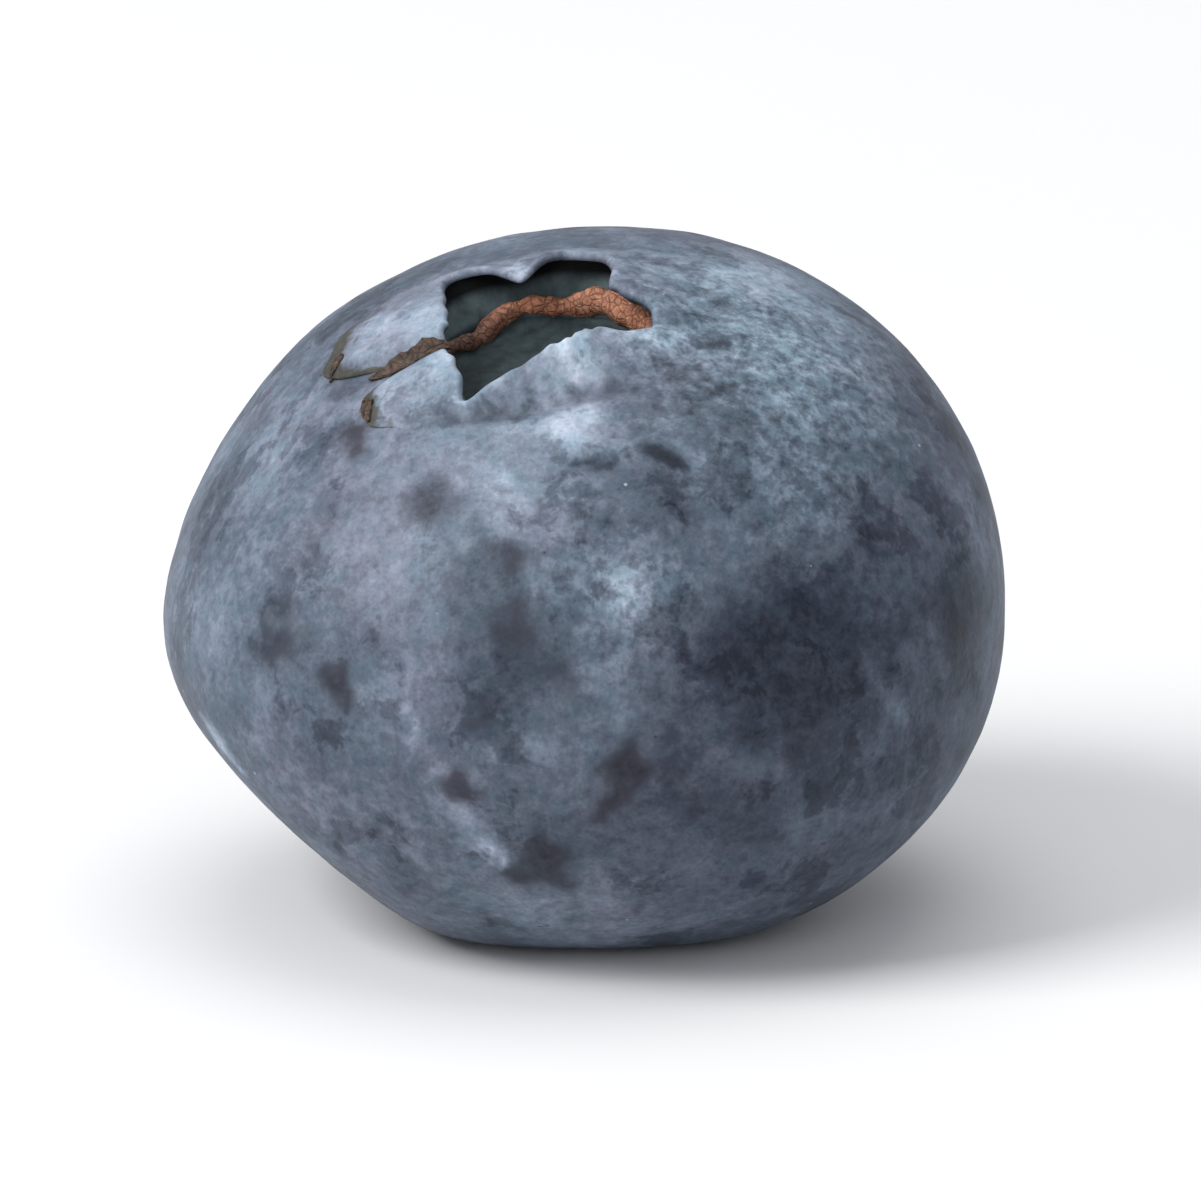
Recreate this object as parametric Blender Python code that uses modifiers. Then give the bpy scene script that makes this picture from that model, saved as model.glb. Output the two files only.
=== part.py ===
"""A ripe blueberry lying on a small flat spot with its crown turned up.

The fruit grew as one piece, so it is one closed solid. Its outline is turned about
the line from the stem scar to the crown. The five calyx lobes are raised and spread
from the turned rim by a formula, the skin is waved and pressed a little, and the
berry then leans over and is cut flat where it rests. Lengths are metres and +Z is up.
"""

import math

import bpy
from mathutils import Vector

# The whole fruit
EQUATOR_RADIUS = 0.0080
CROWN_SIDE_HEIGHT = 0.0061
STEM_SIDE_HEIGHT = 0.0063
CROWN_SIDE_FULLNESS = 2.15
STEM_SIDE_FULLNESS = 2.4
STEPS_AROUND = 76
MERGE_DISTANCE = 0.000002
FLANK_TOP_TURN = 52.0
FLANK_BOTTOM_TURN = -83.0
FLANK_TURN_STEP = 6.0

# The crater inside the crown, its heights measured up from its floor
CRATER_FLOOR = 0.00512
DISC_DOME = 0.00004
STYLE_SCAR_RADIUS = 0.00030
STYLE_SCAR_DEPTH = 0.00014
RING_RADIUS = 0.00194
RING_THICKNESS = 0.00017
RING_WAVES = 7
RING_WAVE_HEIGHT = 0.00005
WALL_RADIUS = 0.00238
WALL_UNDERCUT_LEVEL = 0.00035

# The rim round the crater and the calyx lobes spread outwards from it
LIP_RADIUS = 0.00215
LIP_OVERHANG = 0.00012
LOBE_RELIEF = 0.00026
LOBE_TIP_RELIEF = 0.00015
LOBE_EDGE_RADIUS = 0.00290
CALYX_OUTER_RADIUS = 0.00460
NOTCH_REACH = 0.00256
NOTCH_OPENING = 0.00022
NOTCH_RELIEF_SHARE = 0.30

# Each lobe: its middle and half width in degrees about the crown, its reach, and its fold over the crater
LOBES = (
    (96.0, 27.0, 0.00285, 0.00052),
    (160.0, 37.0, 0.00385, 0.00008),
    (219.0, 22.0, 0.00345, 0.00000),
    (285.0, 44.0, 0.00325, 0.00006),
    (20.0, 49.0, 0.00340, 0.00000),
)
LOBE_FILL_POWER = 0.55
LOBE_REACH_POWER = 1.5
LOBE_FOLD_POWER = 1.6
FOLD_DROP_SHARE = 0.25

# The stem scar at the other end
DIMPLE_RADIUS = 0.0012
DIMPLE_DEPTH = 0.00030
STEM_SCAR_RADIUS = 0.00075
STEM_SCAR_DEPTH = 0.00020

# Low waves round the fruit: how many there are, their height as a share of the radius, and their turn
BODY_WAVES = ((2, 0.009, 0.6), (3, 0.007, 2.4), (5, 0.006, 1.1))

# Sides pressed flatter as it grew: direction, depth and how softly the flat side starts
PRESSES = (
    ((-0.66, -0.12, -0.74), 0.00092, 0.0007),
    ((-0.82, -0.05, 0.57), 0.00030, 0.0009),
    ((0.15, 0.90, -0.40), 0.00055, 0.0009),
    ((0.30, -0.92, 0.25), 0.00030, 0.0010),
    ((0.00, -0.60, -0.80), 0.00042, 0.0008),
)
PRESS_FIRMNESS = 0.75

# How the fruit lies: where the crown points, and how much is flattened where it rests
CROWN_DIRECTION = (-0.125, -0.330, 0.936)
REST_CUT_DEPTH = 0.00058
CUTTER_SIZE = 0.020

SKIN_COLOUR = (0.115, 0.145, 0.205, 1.0)
SKIN_ROUGHNESS = 0.55


def clear_scene():
    """Removes the objects that a new file starts with."""
    for thing in list(bpy.data.objects):
        bpy.data.objects.remove(thing, do_unlink=True)


def new_collection(name):
    """A collection in the scene."""
    group = bpy.data.collections.new(name)
    bpy.context.scene.collection.children.link(group)
    return group


def shoulder_level(radius):
    """Height of the crown side's skin at a radius, before the calyx is raised from it."""
    share = (radius / EQUATOR_RADIUS) ** CROWN_SIDE_FULLNESS
    return CROWN_SIDE_HEIGHT * (1 - share) ** (1 / CROWN_SIDE_FULLNESS)


def arc(centre, radius, start, end, count):
    """Points (radius, height) along a circular arc, its angles in degrees from the outward direction."""
    points = []
    for step in range(count + 1):
        angle = math.radians(start + (end - start) * step / count)
        points.append((centre[0] + radius * math.cos(angle), centre[1] + radius * math.sin(angle)))
    return points


def crater_profile():
    """The crater from its centre outwards: style scar, low disc, ring and undercut wall."""
    disc = CRATER_FLOOR + DISC_DOME
    points = [(0.0, CRATER_FLOOR - STYLE_SCAR_DEPTH)]
    points.append((STYLE_SCAR_RADIUS * 0.6, CRATER_FLOOR - STYLE_SCAR_DEPTH * 0.85))
    points.append((STYLE_SCAR_RADIUS, disc + STYLE_SCAR_DEPTH * 0.3))
    points.append((STYLE_SCAR_RADIUS * 1.7, disc))
    points.append((RING_RADIUS * 0.5, disc))
    points.append((RING_RADIUS - RING_THICKNESS * 2.2, CRATER_FLOOR))
    points += arc((RING_RADIUS, CRATER_FLOOR + RING_THICKNESS * 0.1), RING_THICKNESS, 175, 15, 6)
    undercut = WALL_UNDERCUT_LEVEL
    points.append((WALL_RADIUS - RING_THICKNESS, CRATER_FLOOR - RING_THICKNESS * 0.3))
    points += arc((WALL_RADIUS - undercut, CRATER_FLOOR + undercut), undercut, -38, 38, 5)
    return points


def rim_profile():
    """The lip over the crater's wall and the calyx from the lip out to the plain shoulder."""
    lip_level = shoulder_level(LIP_RADIUS) + LOBE_RELIEF
    points = [(LIP_RADIUS - LIP_OVERHANG * 0.8, lip_level - LIP_OVERHANG * 1.7)]
    points += arc((LIP_RADIUS, lip_level - LIP_OVERHANG), LIP_OVERHANG, 180, 90, 3)
    for share in (0.3, 0.62, 0.88):
        radius = LIP_RADIUS + (LOBE_EDGE_RADIUS - LIP_RADIUS) * share
        relief = LOBE_RELIEF + (LOBE_TIP_RELIEF - LOBE_RELIEF) * share
        points.append((radius, shoulder_level(radius) + relief))
    for extra, share in ((0.0, 0.84), (0.00004, 0.45), (0.00008, 0.08), (0.00022, 0.0)):
        radius = LOBE_EDGE_RADIUS + extra
        points.append((radius, shoulder_level(radius) + LOBE_TIP_RELIEF * share))
    for share in (0.28, 0.48, 0.72, 1.0):
        radius = LOBE_EDGE_RADIUS + (CALYX_OUTER_RADIUS - LOBE_EDGE_RADIUS) * share
        points.append((radius, shoulder_level(radius)))
    return points


def flank_point(turn):
    """A point of the outer skin, its turn in degrees from the equator, up positive."""
    upper = turn > 0
    height = CROWN_SIDE_HEIGHT if upper else STEM_SIDE_HEIGHT
    power = 2 / (CROWN_SIDE_FULLNESS if upper else STEM_SIDE_FULLNESS)
    angle = math.radians(abs(turn))
    radius = EQUATOR_RADIUS * math.cos(angle) ** power
    level = height * math.sin(angle) ** power
    return radius, level if upper else -level


def flank_profile():
    """The outer skin from the shoulder to the stem end, with its dimple and scar."""
    points = []
    turn = FLANK_TOP_TURN
    while turn > FLANK_BOTTOM_TURN:
        points.append(flank_point(turn))
        turn -= FLANK_TURN_STEP
    points.append((STEM_SCAR_RADIUS, flank_point(-85.0)[1]))
    points.append((STEM_SCAR_RADIUS * 0.8, flank_point(-86.0)[1] + STEM_SCAR_DEPTH))
    points.append((STEM_SCAR_RADIUS * 0.4, flank_point(-88.0)[1] + STEM_SCAR_DEPTH * 0.8))
    points.append((0.0, -STEM_SIDE_HEIGHT + STEM_SCAR_DEPTH))
    return [(radius, level + dimple(radius, level)) for radius, level in points]


def dimple(radius, level):
    """How far the stem end is drawn in at a radius."""
    if level > 0:
        return 0.0
    return DIMPLE_DEPTH * math.exp(-((radius / DIMPLE_RADIUS) ** 2))


def turned_mesh(name, profile):
    """A closed mesh turned about Z from points that run from the axis to the axis."""
    outline = bpy.data.meshes.new(name + "_outline")
    points = [(radius, 0.0, level) for radius, level in profile]
    edges = [(index, index + 1) for index in range(len(points) - 1)]
    outline.from_pydata(points, edges, [])
    guide = bpy.data.objects.new(name + "_guide", outline)
    bpy.context.scene.collection.objects.link(guide)
    screw = guide.modifiers.new("Turn", "SCREW")
    screw.steps = STEPS_AROUND
    screw.render_steps = STEPS_AROUND
    screw.use_merge_vertices = True
    screw.merge_threshold = MERGE_DISTANCE
    depsgraph = bpy.context.evaluated_depsgraph_get()
    mesh = bpy.data.meshes.new_from_object(guide.evaluated_get(depsgraph))
    mesh.name = name
    bpy.data.objects.remove(guide, do_unlink=True)
    return mesh


def angle_between(first, second):
    """The smallest difference of two angles in degrees."""
    return abs((first - second + 180.0) % 360.0 - 180.0)


def lobe_at(angle):
    """The calyx at an angle about the crown: how full it is, how far it reaches, and its fold inwards."""
    for middle, half_width, reach, fold in LOBES:
        away = angle_between(angle, middle)
        if away < half_width:
            rise = math.cos(math.radians(90.0 * away / half_width))
            spread = NOTCH_REACH + (reach - NOTCH_REACH) * rise ** LOBE_REACH_POWER
            return rise ** LOBE_FILL_POWER, spread, fold * rise ** LOBE_FOLD_POWER
    return 0.0, NOTCH_REACH, 0.0


def calyx_point(radius, level, angle):
    """Spreads the turned rim into lobes and notches: a point on or outside the lip."""
    fill, reach, fold = lobe_at(angle)
    start = LIP_RADIUS + NOTCH_OPENING * (1 - fill) - fold
    relief = (level - shoulder_level(radius)) * (NOTCH_RELIEF_SHARE + (1 - NOTCH_RELIEF_SHARE) * fill)
    if radius < LOBE_EDGE_RADIUS:
        share = (radius - LIP_RADIUS) / (LOBE_EDGE_RADIUS - LIP_RADIUS)
        spread = start + (reach - start) * share
        return spread, shoulder_level(spread) + relief - fold * FOLD_DROP_SHARE * (1 - share)
    share = (radius - LOBE_EDGE_RADIUS) / (CALYX_OUTER_RADIUS - LOBE_EDGE_RADIUS)
    spread = reach + (CALYX_OUTER_RADIUS - reach) * share
    return spread, shoulder_level(spread) + relief


def wall_point(radius, level, angle):
    """Moves the upper part of the crater's wall with the lip above it."""
    lip_level = shoulder_level(LIP_RADIUS) + LOBE_RELIEF
    bottom = CRATER_FLOOR + WALL_UNDERCUT_LEVEL
    share = max(0.0, (level - bottom) / (lip_level - bottom))
    moved_radius, moved_level = calyx_point(LIP_RADIUS, lip_level, angle)
    return radius + (moved_radius - LIP_RADIUS) * share, level + (moved_level - lip_level) * share


def wave_share(angle, waves):
    """The sum of the waves round the fruit at an angle in degrees."""
    return sum(height * math.cos(math.radians(count * angle) + turn) for count, height, turn in waves)


def grown(point):
    """Where a point of the turned shape has grown to: calyx spread, ring and body waved."""
    radius = math.hypot(point.x, point.y)
    level = point.z
    angle = math.degrees(math.atan2(point.y, point.x))
    if level > 0 and radius < CALYX_OUTER_RADIUS:
        on_skin = level > shoulder_level(radius) - MERGE_DISTANCE
        if on_skin and radius > LIP_RADIUS - MERGE_DISTANCE:
            radius, level = calyx_point(radius, level, angle)
        elif level > CRATER_FLOOR + WALL_UNDERCUT_LEVEL:
            radius, level = wall_point(radius, level, angle)
        else:
            near_ring = math.exp(-(((radius - RING_RADIUS) / (RING_THICKNESS * 2)) ** 2))
            level += near_ring * RING_WAVE_HEIGHT * math.cos(math.radians(RING_WAVES * angle))
    reach = min(1.0, radius / EQUATOR_RADIUS)
    radius *= 1 + wave_share(angle, BODY_WAVES) * reach ** 2
    turn = math.radians(angle)
    return Vector((radius * math.cos(turn), radius * math.sin(turn), level))


def press(points, direction, depth, softness):
    """Pushes in what stands furthest in a direction, starting softly."""
    towards = Vector(direction).normalized()
    limit = max(point.dot(towards) for point in points) - depth
    for point in points:
        past = point.dot(towards) - limit
        push = (past + math.sqrt(past ** 2 + softness ** 2)) / 2
        point -= towards * push * PRESS_FIRMNESS


def lie_down(points):
    """Leans the crown over and sets the berry on the ground plane, centred over the origin."""
    lean = Vector((0.0, 0.0, 1.0)).rotation_difference(Vector(CROWN_DIRECTION))
    for point in points:
        point.rotate(lean)
    for direction, depth, softness in PRESSES:
        press(points, direction, depth, softness)
    low = Vector([min(point[axis] for point in points) for axis in range(3)])
    high = Vector([max(point[axis] for point in points) for axis in range(3)])
    middle = (low + high) / 2
    offset = Vector((middle.x, middle.y, low.z + REST_CUT_DEPTH))
    for point in points:
        point -= offset


def skin_material():
    """Dark blue skin under a pale waxy bloom, as one even colour."""
    material = bpy.data.materials.new("skin")
    material.use_nodes = True
    shader = material.node_tree.nodes["Principled BSDF"]
    shader.inputs["Base Color"].default_value = SKIN_COLOUR
    shader.inputs["Roughness"].default_value = SKIN_ROUGHNESS
    shader.inputs["Metallic"].default_value = 0.0
    return material


def rest_cutter(group):
    """A block under the ground plane that takes off the flattened spot."""
    bpy.ops.mesh.primitive_cube_add(size=CUTTER_SIZE, location=(0.0, 0.0, -CUTTER_SIZE / 2))
    cutter = bpy.context.active_object
    cutter.name = "rest_cutter"
    for owner in list(cutter.users_collection):
        owner.objects.unlink(cutter)
    group.objects.link(cutter)
    cutter.hide_render = True
    cutter.display_type = "WIRE"
    return cutter


def blueberry(group, cutters):
    """The whole fruit as one solid."""
    mesh = turned_mesh("blueberry", crater_profile() + rim_profile() + flank_profile())
    points = [grown(vertex.co) for vertex in mesh.vertices]
    lie_down(points)
    for vertex, point in zip(mesh.vertices, points):
        vertex.co = point
    mesh.shade_smooth()
    mesh.materials.append(skin_material())
    fruit = bpy.data.objects.new("blueberry", mesh)
    group.objects.link(fruit)
    flat = fruit.modifiers.new("Rest", "BOOLEAN")
    flat.operation = "DIFFERENCE"
    flat.object = rest_cutter(cutters)
    return fruit


def main():
    """Builds the blueberry."""
    clear_scene()
    blueberry(new_collection("blueberry"), new_collection("cutters"))


main()
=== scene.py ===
"""A ripe blueberry on a pale studio floor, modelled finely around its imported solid.

The fruit's outline is drawn by extruding, spun round the line from the stem scar to the
crown, and then grown by formulas: calyx lobes with ragged dry edges, a crater with an
undercut wall, low waves, wrinkles and pressed sides. It leans over and settles on the
floor as the solid does. The rust ring in the crater, the style's stub, the dry flakes
and the stem's cork are pieces of their own. Lengths are metres and +Z is up, unless a
name says millimetres. Angles round the crown are degrees, 0 towards +X and 90 away
from the camera.
"""

import logging
import math
from dataclasses import dataclass, field
from enum import Enum
from typing import ClassVar, Protocol

import bpy
import numpy as np
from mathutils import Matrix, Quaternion, Vector


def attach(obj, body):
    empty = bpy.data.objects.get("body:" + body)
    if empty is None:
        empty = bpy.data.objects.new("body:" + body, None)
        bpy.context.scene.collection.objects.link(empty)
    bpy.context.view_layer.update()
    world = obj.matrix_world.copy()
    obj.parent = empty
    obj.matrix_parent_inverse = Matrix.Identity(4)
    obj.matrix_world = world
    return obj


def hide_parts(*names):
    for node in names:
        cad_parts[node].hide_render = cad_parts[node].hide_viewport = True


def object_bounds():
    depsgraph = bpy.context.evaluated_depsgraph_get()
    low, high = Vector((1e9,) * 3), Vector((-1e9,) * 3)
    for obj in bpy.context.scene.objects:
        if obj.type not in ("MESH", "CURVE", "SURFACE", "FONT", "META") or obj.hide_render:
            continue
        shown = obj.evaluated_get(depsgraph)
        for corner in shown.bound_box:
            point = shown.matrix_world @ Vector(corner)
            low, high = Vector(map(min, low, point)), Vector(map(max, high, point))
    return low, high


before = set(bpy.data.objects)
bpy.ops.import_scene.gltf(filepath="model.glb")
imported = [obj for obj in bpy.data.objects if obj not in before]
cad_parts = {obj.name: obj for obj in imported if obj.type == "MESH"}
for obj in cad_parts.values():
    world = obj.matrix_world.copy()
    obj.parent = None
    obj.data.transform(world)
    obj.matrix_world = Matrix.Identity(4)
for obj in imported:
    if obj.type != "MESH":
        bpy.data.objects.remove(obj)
CAD_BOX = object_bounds()

NODE = "blueberry"
BODY = "root"
MM = 0.001
MILLIMETRES_PER_METRE = 1000.0
MERGE_DISTANCE = 0.000001
MIX_SETTINGS = {"data_type": "RGBA", "clamp_factor": True}

Colour = tuple[float, float, float]
Place = tuple[float, float, float]
Outline = list[tuple[float, float]]
Stops = tuple[tuple[float, Colour], ...]

DRY_STOPS: Stops = (
    (0.20, (0.016, 0.012, 0.010)),
    (0.42, (0.042, 0.027, 0.020)),
    (0.62, (0.095, 0.060, 0.044)),
    (0.85, (0.210, 0.150, 0.110)),
)

log = logging.getLogger("blueberry")


class Part(Enum):
    """The stretches of the spun outline, from the crown's middle to the stem end."""

    FLOOR = 0
    WALL = 1
    LOBE = 2
    SKIN = 3


@dataclass(frozen=True)
class Signal:
    """A node's output, to be fed to other nodes of the same graph."""

    graph: "Graph"
    socket: bpy.types.NodeSocket


class Value(Signal):
    """A number that varies over a surface, with Python's operators as Math nodes."""

    def __add__(self, other: "Value | float") -> "Value":
        """The sum."""
        return self.graph.math("ADD", self, other)

    def __sub__(self, other: "Value | float") -> "Value":
        """The difference."""
        return self.graph.math("SUBTRACT", self, other)

    def __rsub__(self, other: "Value | float") -> "Value":
        """The difference the other way round."""
        return self.graph.math("SUBTRACT", other, self)

    def __mul__(self, other: "Value | float") -> "Value":
        """The product."""
        return self.graph.math("MULTIPLY", self, other)

    __radd__ = __add__

    def away(self, middle: float) -> "Value":
        """How far the value is from a number, either way."""
        return self.graph.math("ABSOLUTE", self - middle, 0.0)

    def clamped(self) -> "Value":
        """The value kept from 0 to 1."""
        return self.graph.math("MAXIMUM", self.graph.math("MINIMUM", self, 1.0), 0.0)

    def step(self, low: float, high: float) -> "Value":
        """A smooth rise from 0 to 1.

        Args:
            low: Where the rise starts.
            high: Where it ends, which may be the lower of the two for a fall.

        Returns:
            The rise, clamped.
        """
        start, end = sorted((low, high))
        inputs = {"Value": self, "From Min": start, "From Max": end}
        made = self.graph.node("ShaderNodeMapRange", {"interpolation_type": "SMOOTHSTEP"}, inputs)
        rise = Value(self.graph, made.outputs[0])
        return rise if low <= high else 1.0 - rise


class Flow(Signal):
    """A vector that varies over a surface."""

    def __add__(self, other: "Flow | Place") -> "Flow":
        """The sum."""
        return self.graph.vector("ADD", self, other)

    def __sub__(self, other: "Flow | Place") -> "Flow":
        """The difference."""
        return self.graph.vector("SUBTRACT", self, other)

    def __mul__(self, other: Place) -> "Flow":
        """Each part of the vector times its own number."""
        return self.graph.vector("MULTIPLY", self, other)

    def dot(self, other: Place) -> Value:
        """The dot product with a fixed vector."""
        made = self.graph.node("ShaderNodeVectorMath", {"operation": "DOT_PRODUCT"}, {0: self, 1: other})
        return Value(self.graph, made.outputs["Value"])


class Tint(Signal):
    """A colour that varies over a surface."""


@dataclass(frozen=True)
class Cloud:
    """Cloudy noise: its largest patches in millimetres, its finer layers, their strength and its height."""

    size: float
    detail: float = 3.0
    rough: float = 0.55
    height: float = 1.0


class Graph:
    """One material and short calls that add its nodes."""

    def __init__(self, name: str) -> None:
        """Starts a material with its Principled shader.

        Args:
            name: The material's name.
        """
        self.material = bpy.data.materials.new(name)
        self.material.use_nodes = True
        self.tree = self.material.node_tree
        self.shader = self.tree.nodes["Principled BSDF"]

    def node(self, kind: str, settings: dict | None = None, inputs: dict | None = None) -> bpy.types.Node:
        """Adds one node.

        Args:
            kind: The node's type.
            settings: Its properties, set first. "stops" fills a ramp with (place, colour) pairs.
            inputs: Values or signals for its sockets, by name or number.

        Returns:
            The node.
        """
        made = self.tree.nodes.new(kind)
        for name, value in (settings or {}).items():
            if name == "stops":
                self.fill_ramp(made.color_ramp, value)
            else:
                setattr(made, name, value)
        for name, value in (inputs or {}).items():
            self.feed(made.inputs[name], value)
        return made

    @staticmethod
    def fill_ramp(ramp: bpy.types.ColorRamp, stops: Stops) -> None:
        """Sets a ramp's stops.

        Args:
            ramp: The ramp of a Color Ramp node.
            stops: Pairs of place and colour, in order.
        """
        while len(ramp.elements) < len(stops):
            ramp.elements.new(1.0)
        for element, (place, colour) in zip(ramp.elements, stops):
            element.position = place
            element.color = (*colour, 1.0)

    def feed(self, socket: bpy.types.NodeSocket, value: "Signal | float | Place") -> None:
        """Links a signal to a socket, or sets the socket's own value.

        Args:
            socket: The input socket.
            value: A signal, a number, a vector or a colour.
        """
        if isinstance(value, Signal):
            self.tree.links.new(value.socket, socket)
        elif socket.type == "RGBA":
            socket.default_value = (*value, 1.0)
        else:
            socket.default_value = value

    def finish(self, inputs: dict) -> bpy.types.Material:
        """Feeds the Principled shader and hands over the material.

        Args:
            inputs: Values or signals for its sockets, by name.

        Returns:
            The material.
        """
        for name, value in inputs.items():
            self.feed(self.shader.inputs[name], value)
        return self.material

    def math(self, operation: str, first: "Value | float", second: "Value | float") -> Value:
        """The result of a Math node."""
        made = self.node("ShaderNodeMath", {"operation": operation}, {0: first, 1: second})
        return Value(self, made.outputs[0])

    def vector(self, operation: str, first: "Flow | Place", second: "Flow | Place") -> Flow:
        """The vector that a Vector Math node gives."""
        made = self.node("ShaderNodeVectorMath", {"operation": operation}, {0: first, 1: second})
        return Flow(self, made.outputs["Vector"])

    def millimetres(self) -> Flow:
        """The point on the piece, in millimetres in the shared frame."""
        made = self.node("ShaderNodeTexCoord")
        return Flow(self, made.outputs["Object"]) * ((MILLIMETRES_PER_METRE,) * 3)

    def turned(self, place: Flow, origin: Place, turn: Place) -> Flow:
        """A point as seen from an axis that starts at an origin.

        Args:
            place: The point, in millimetres.
            origin: The origin, in millimetres.
            turn: The turn from upright to the axis, as XYZ angles.

        Returns:
            The point, with Z along the axis.
        """
        inputs = {"Vector": place, "Location": origin, "Rotation": turn}
        made = self.node("ShaderNodeMapping", {"vector_type": "TEXTURE"}, inputs)
        return Flow(self, made.outputs["Vector"])

    def attribute(self, name: str) -> Value:
        """A number kept on the piece's points, by name."""
        made = self.node("ShaderNodeAttribute", {"attribute_name": name})
        return Value(self, made.outputs["Fac"])

    def clouds(self, place: Flow, cloud: Cloud) -> bpy.types.Node:
        """A noise node that is read at a point in millimetres."""
        scale = 1.0 / cloud.size
        inputs = {"Vector": place, "Scale": scale, "Detail": cloud.detail, "Roughness": cloud.rough}
        return self.node("ShaderNodeTexNoise", None, inputs)

    def noise(self, place: Flow, cloud: Cloud) -> Value:
        """Cloudy noise from about 0 up to the cloud's height."""
        raw = Value(self, self.clouds(place, cloud).outputs[0])
        return raw if cloud.height == 1.0 else raw * cloud.height

    def uneven(self, place: Flow, cloud: Cloud) -> Value:
        """Cloudy noise as far below 0 as above it, the cloud's height in all."""
        return (Value(self, self.clouds(place, cloud).outputs[0]) - 0.5) * cloud.height

    def wander(self, place: Flow, cloud: Cloud) -> Flow:
        """A point moved by noise, up to the cloud's height, so that patterns lose their straight edges."""
        colour = Flow(self, self.clouds(place, cloud).outputs[1])
        return place + (colour - (0.5, 0.5, 0.5)) * ((cloud.height * 2.0,) * 3)

    def cracks(self, place: Flow, size: float) -> Value:
        """The distance to the edge in a pattern of cells.

        Args:
            place: Where it is read, in millimetres.
            size: The cells' size, in millimetres.

        Returns:
            The distance, in cell sizes.
        """
        settings = {"feature": "DISTANCE_TO_EDGE"}
        made = self.node("ShaderNodeTexVoronoi", settings, {"Vector": place, "Scale": 1.0 / size})
        return Value(self, made.outputs["Distance"])

    def dots(self, place: Flow, size: float, radius: float, share: float) -> tuple[Value, Value]:
        """Two kinds of small round dots scattered at random.

        Args:
            place: Where they are read, in millimetres.
            size: The mean gap between places for a dot, in millimetres.
            radius: A dot's radius, in millimetres.
            share: The share of the places that have each kind of dot.

        Returns:
            For each kind, 1 on a dot and 0 elsewhere.
        """
        made = self.node("ShaderNodeTexVoronoi", {"feature": "F1"}, {"Vector": place, "Scale": 1.0 / size})
        draw = Flow(self, made.outputs["Color"]).dot((1.0, 0.0, 0.0))
        disc = Value(self, made.outputs["Distance"]).step(radius / size, radius * 0.5 / size)
        return disc * draw.step(share, share * 0.9), disc * draw.step(1.0 - share, 1.0 - share * 0.9)

    def mix(self, share: "Value | float", first: "Tint | Colour", second: "Tint | Colour",
            way: str = "MIX") -> Tint:
        """The first colour with as much of the second as the share says, blended the given way."""
        made = self.node("ShaderNodeMix", MIX_SETTINGS | {"blend_type": way}, {0: share, 6: first, 7: second})
        return Tint(self, made.outputs[2])

    def tinted(self, share: "Value | float", colour: "Tint | Colour", tint: Colour) -> Tint:
        """A colour multiplied by a tint, as far as the share says."""
        return self.mix(share, colour, tint, "MULTIPLY")

    def ramp(self, value: Value, stops: Stops) -> Tint:
        """A colour read from a ramp's stops."""
        return Tint(self, self.node("ShaderNodeValToRGB", {"stops": stops}, {0: value}).outputs[0])

    def bump(self, height: Value, depth: float) -> Signal:
        """A surface normal from a height, where 1 is as deep as the depth in metres."""
        inputs = {"Strength": 1.0, "Distance": depth, "Height": height}
        return Signal(self, self.node("ShaderNodeBump", None, inputs).outputs[0])


class Form(Protocol):
    """A height that is read at angles round the crown, or at points of the skin."""

    def at(self, where: np.ndarray) -> np.ndarray:
        """The height at each angle or point."""


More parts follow.
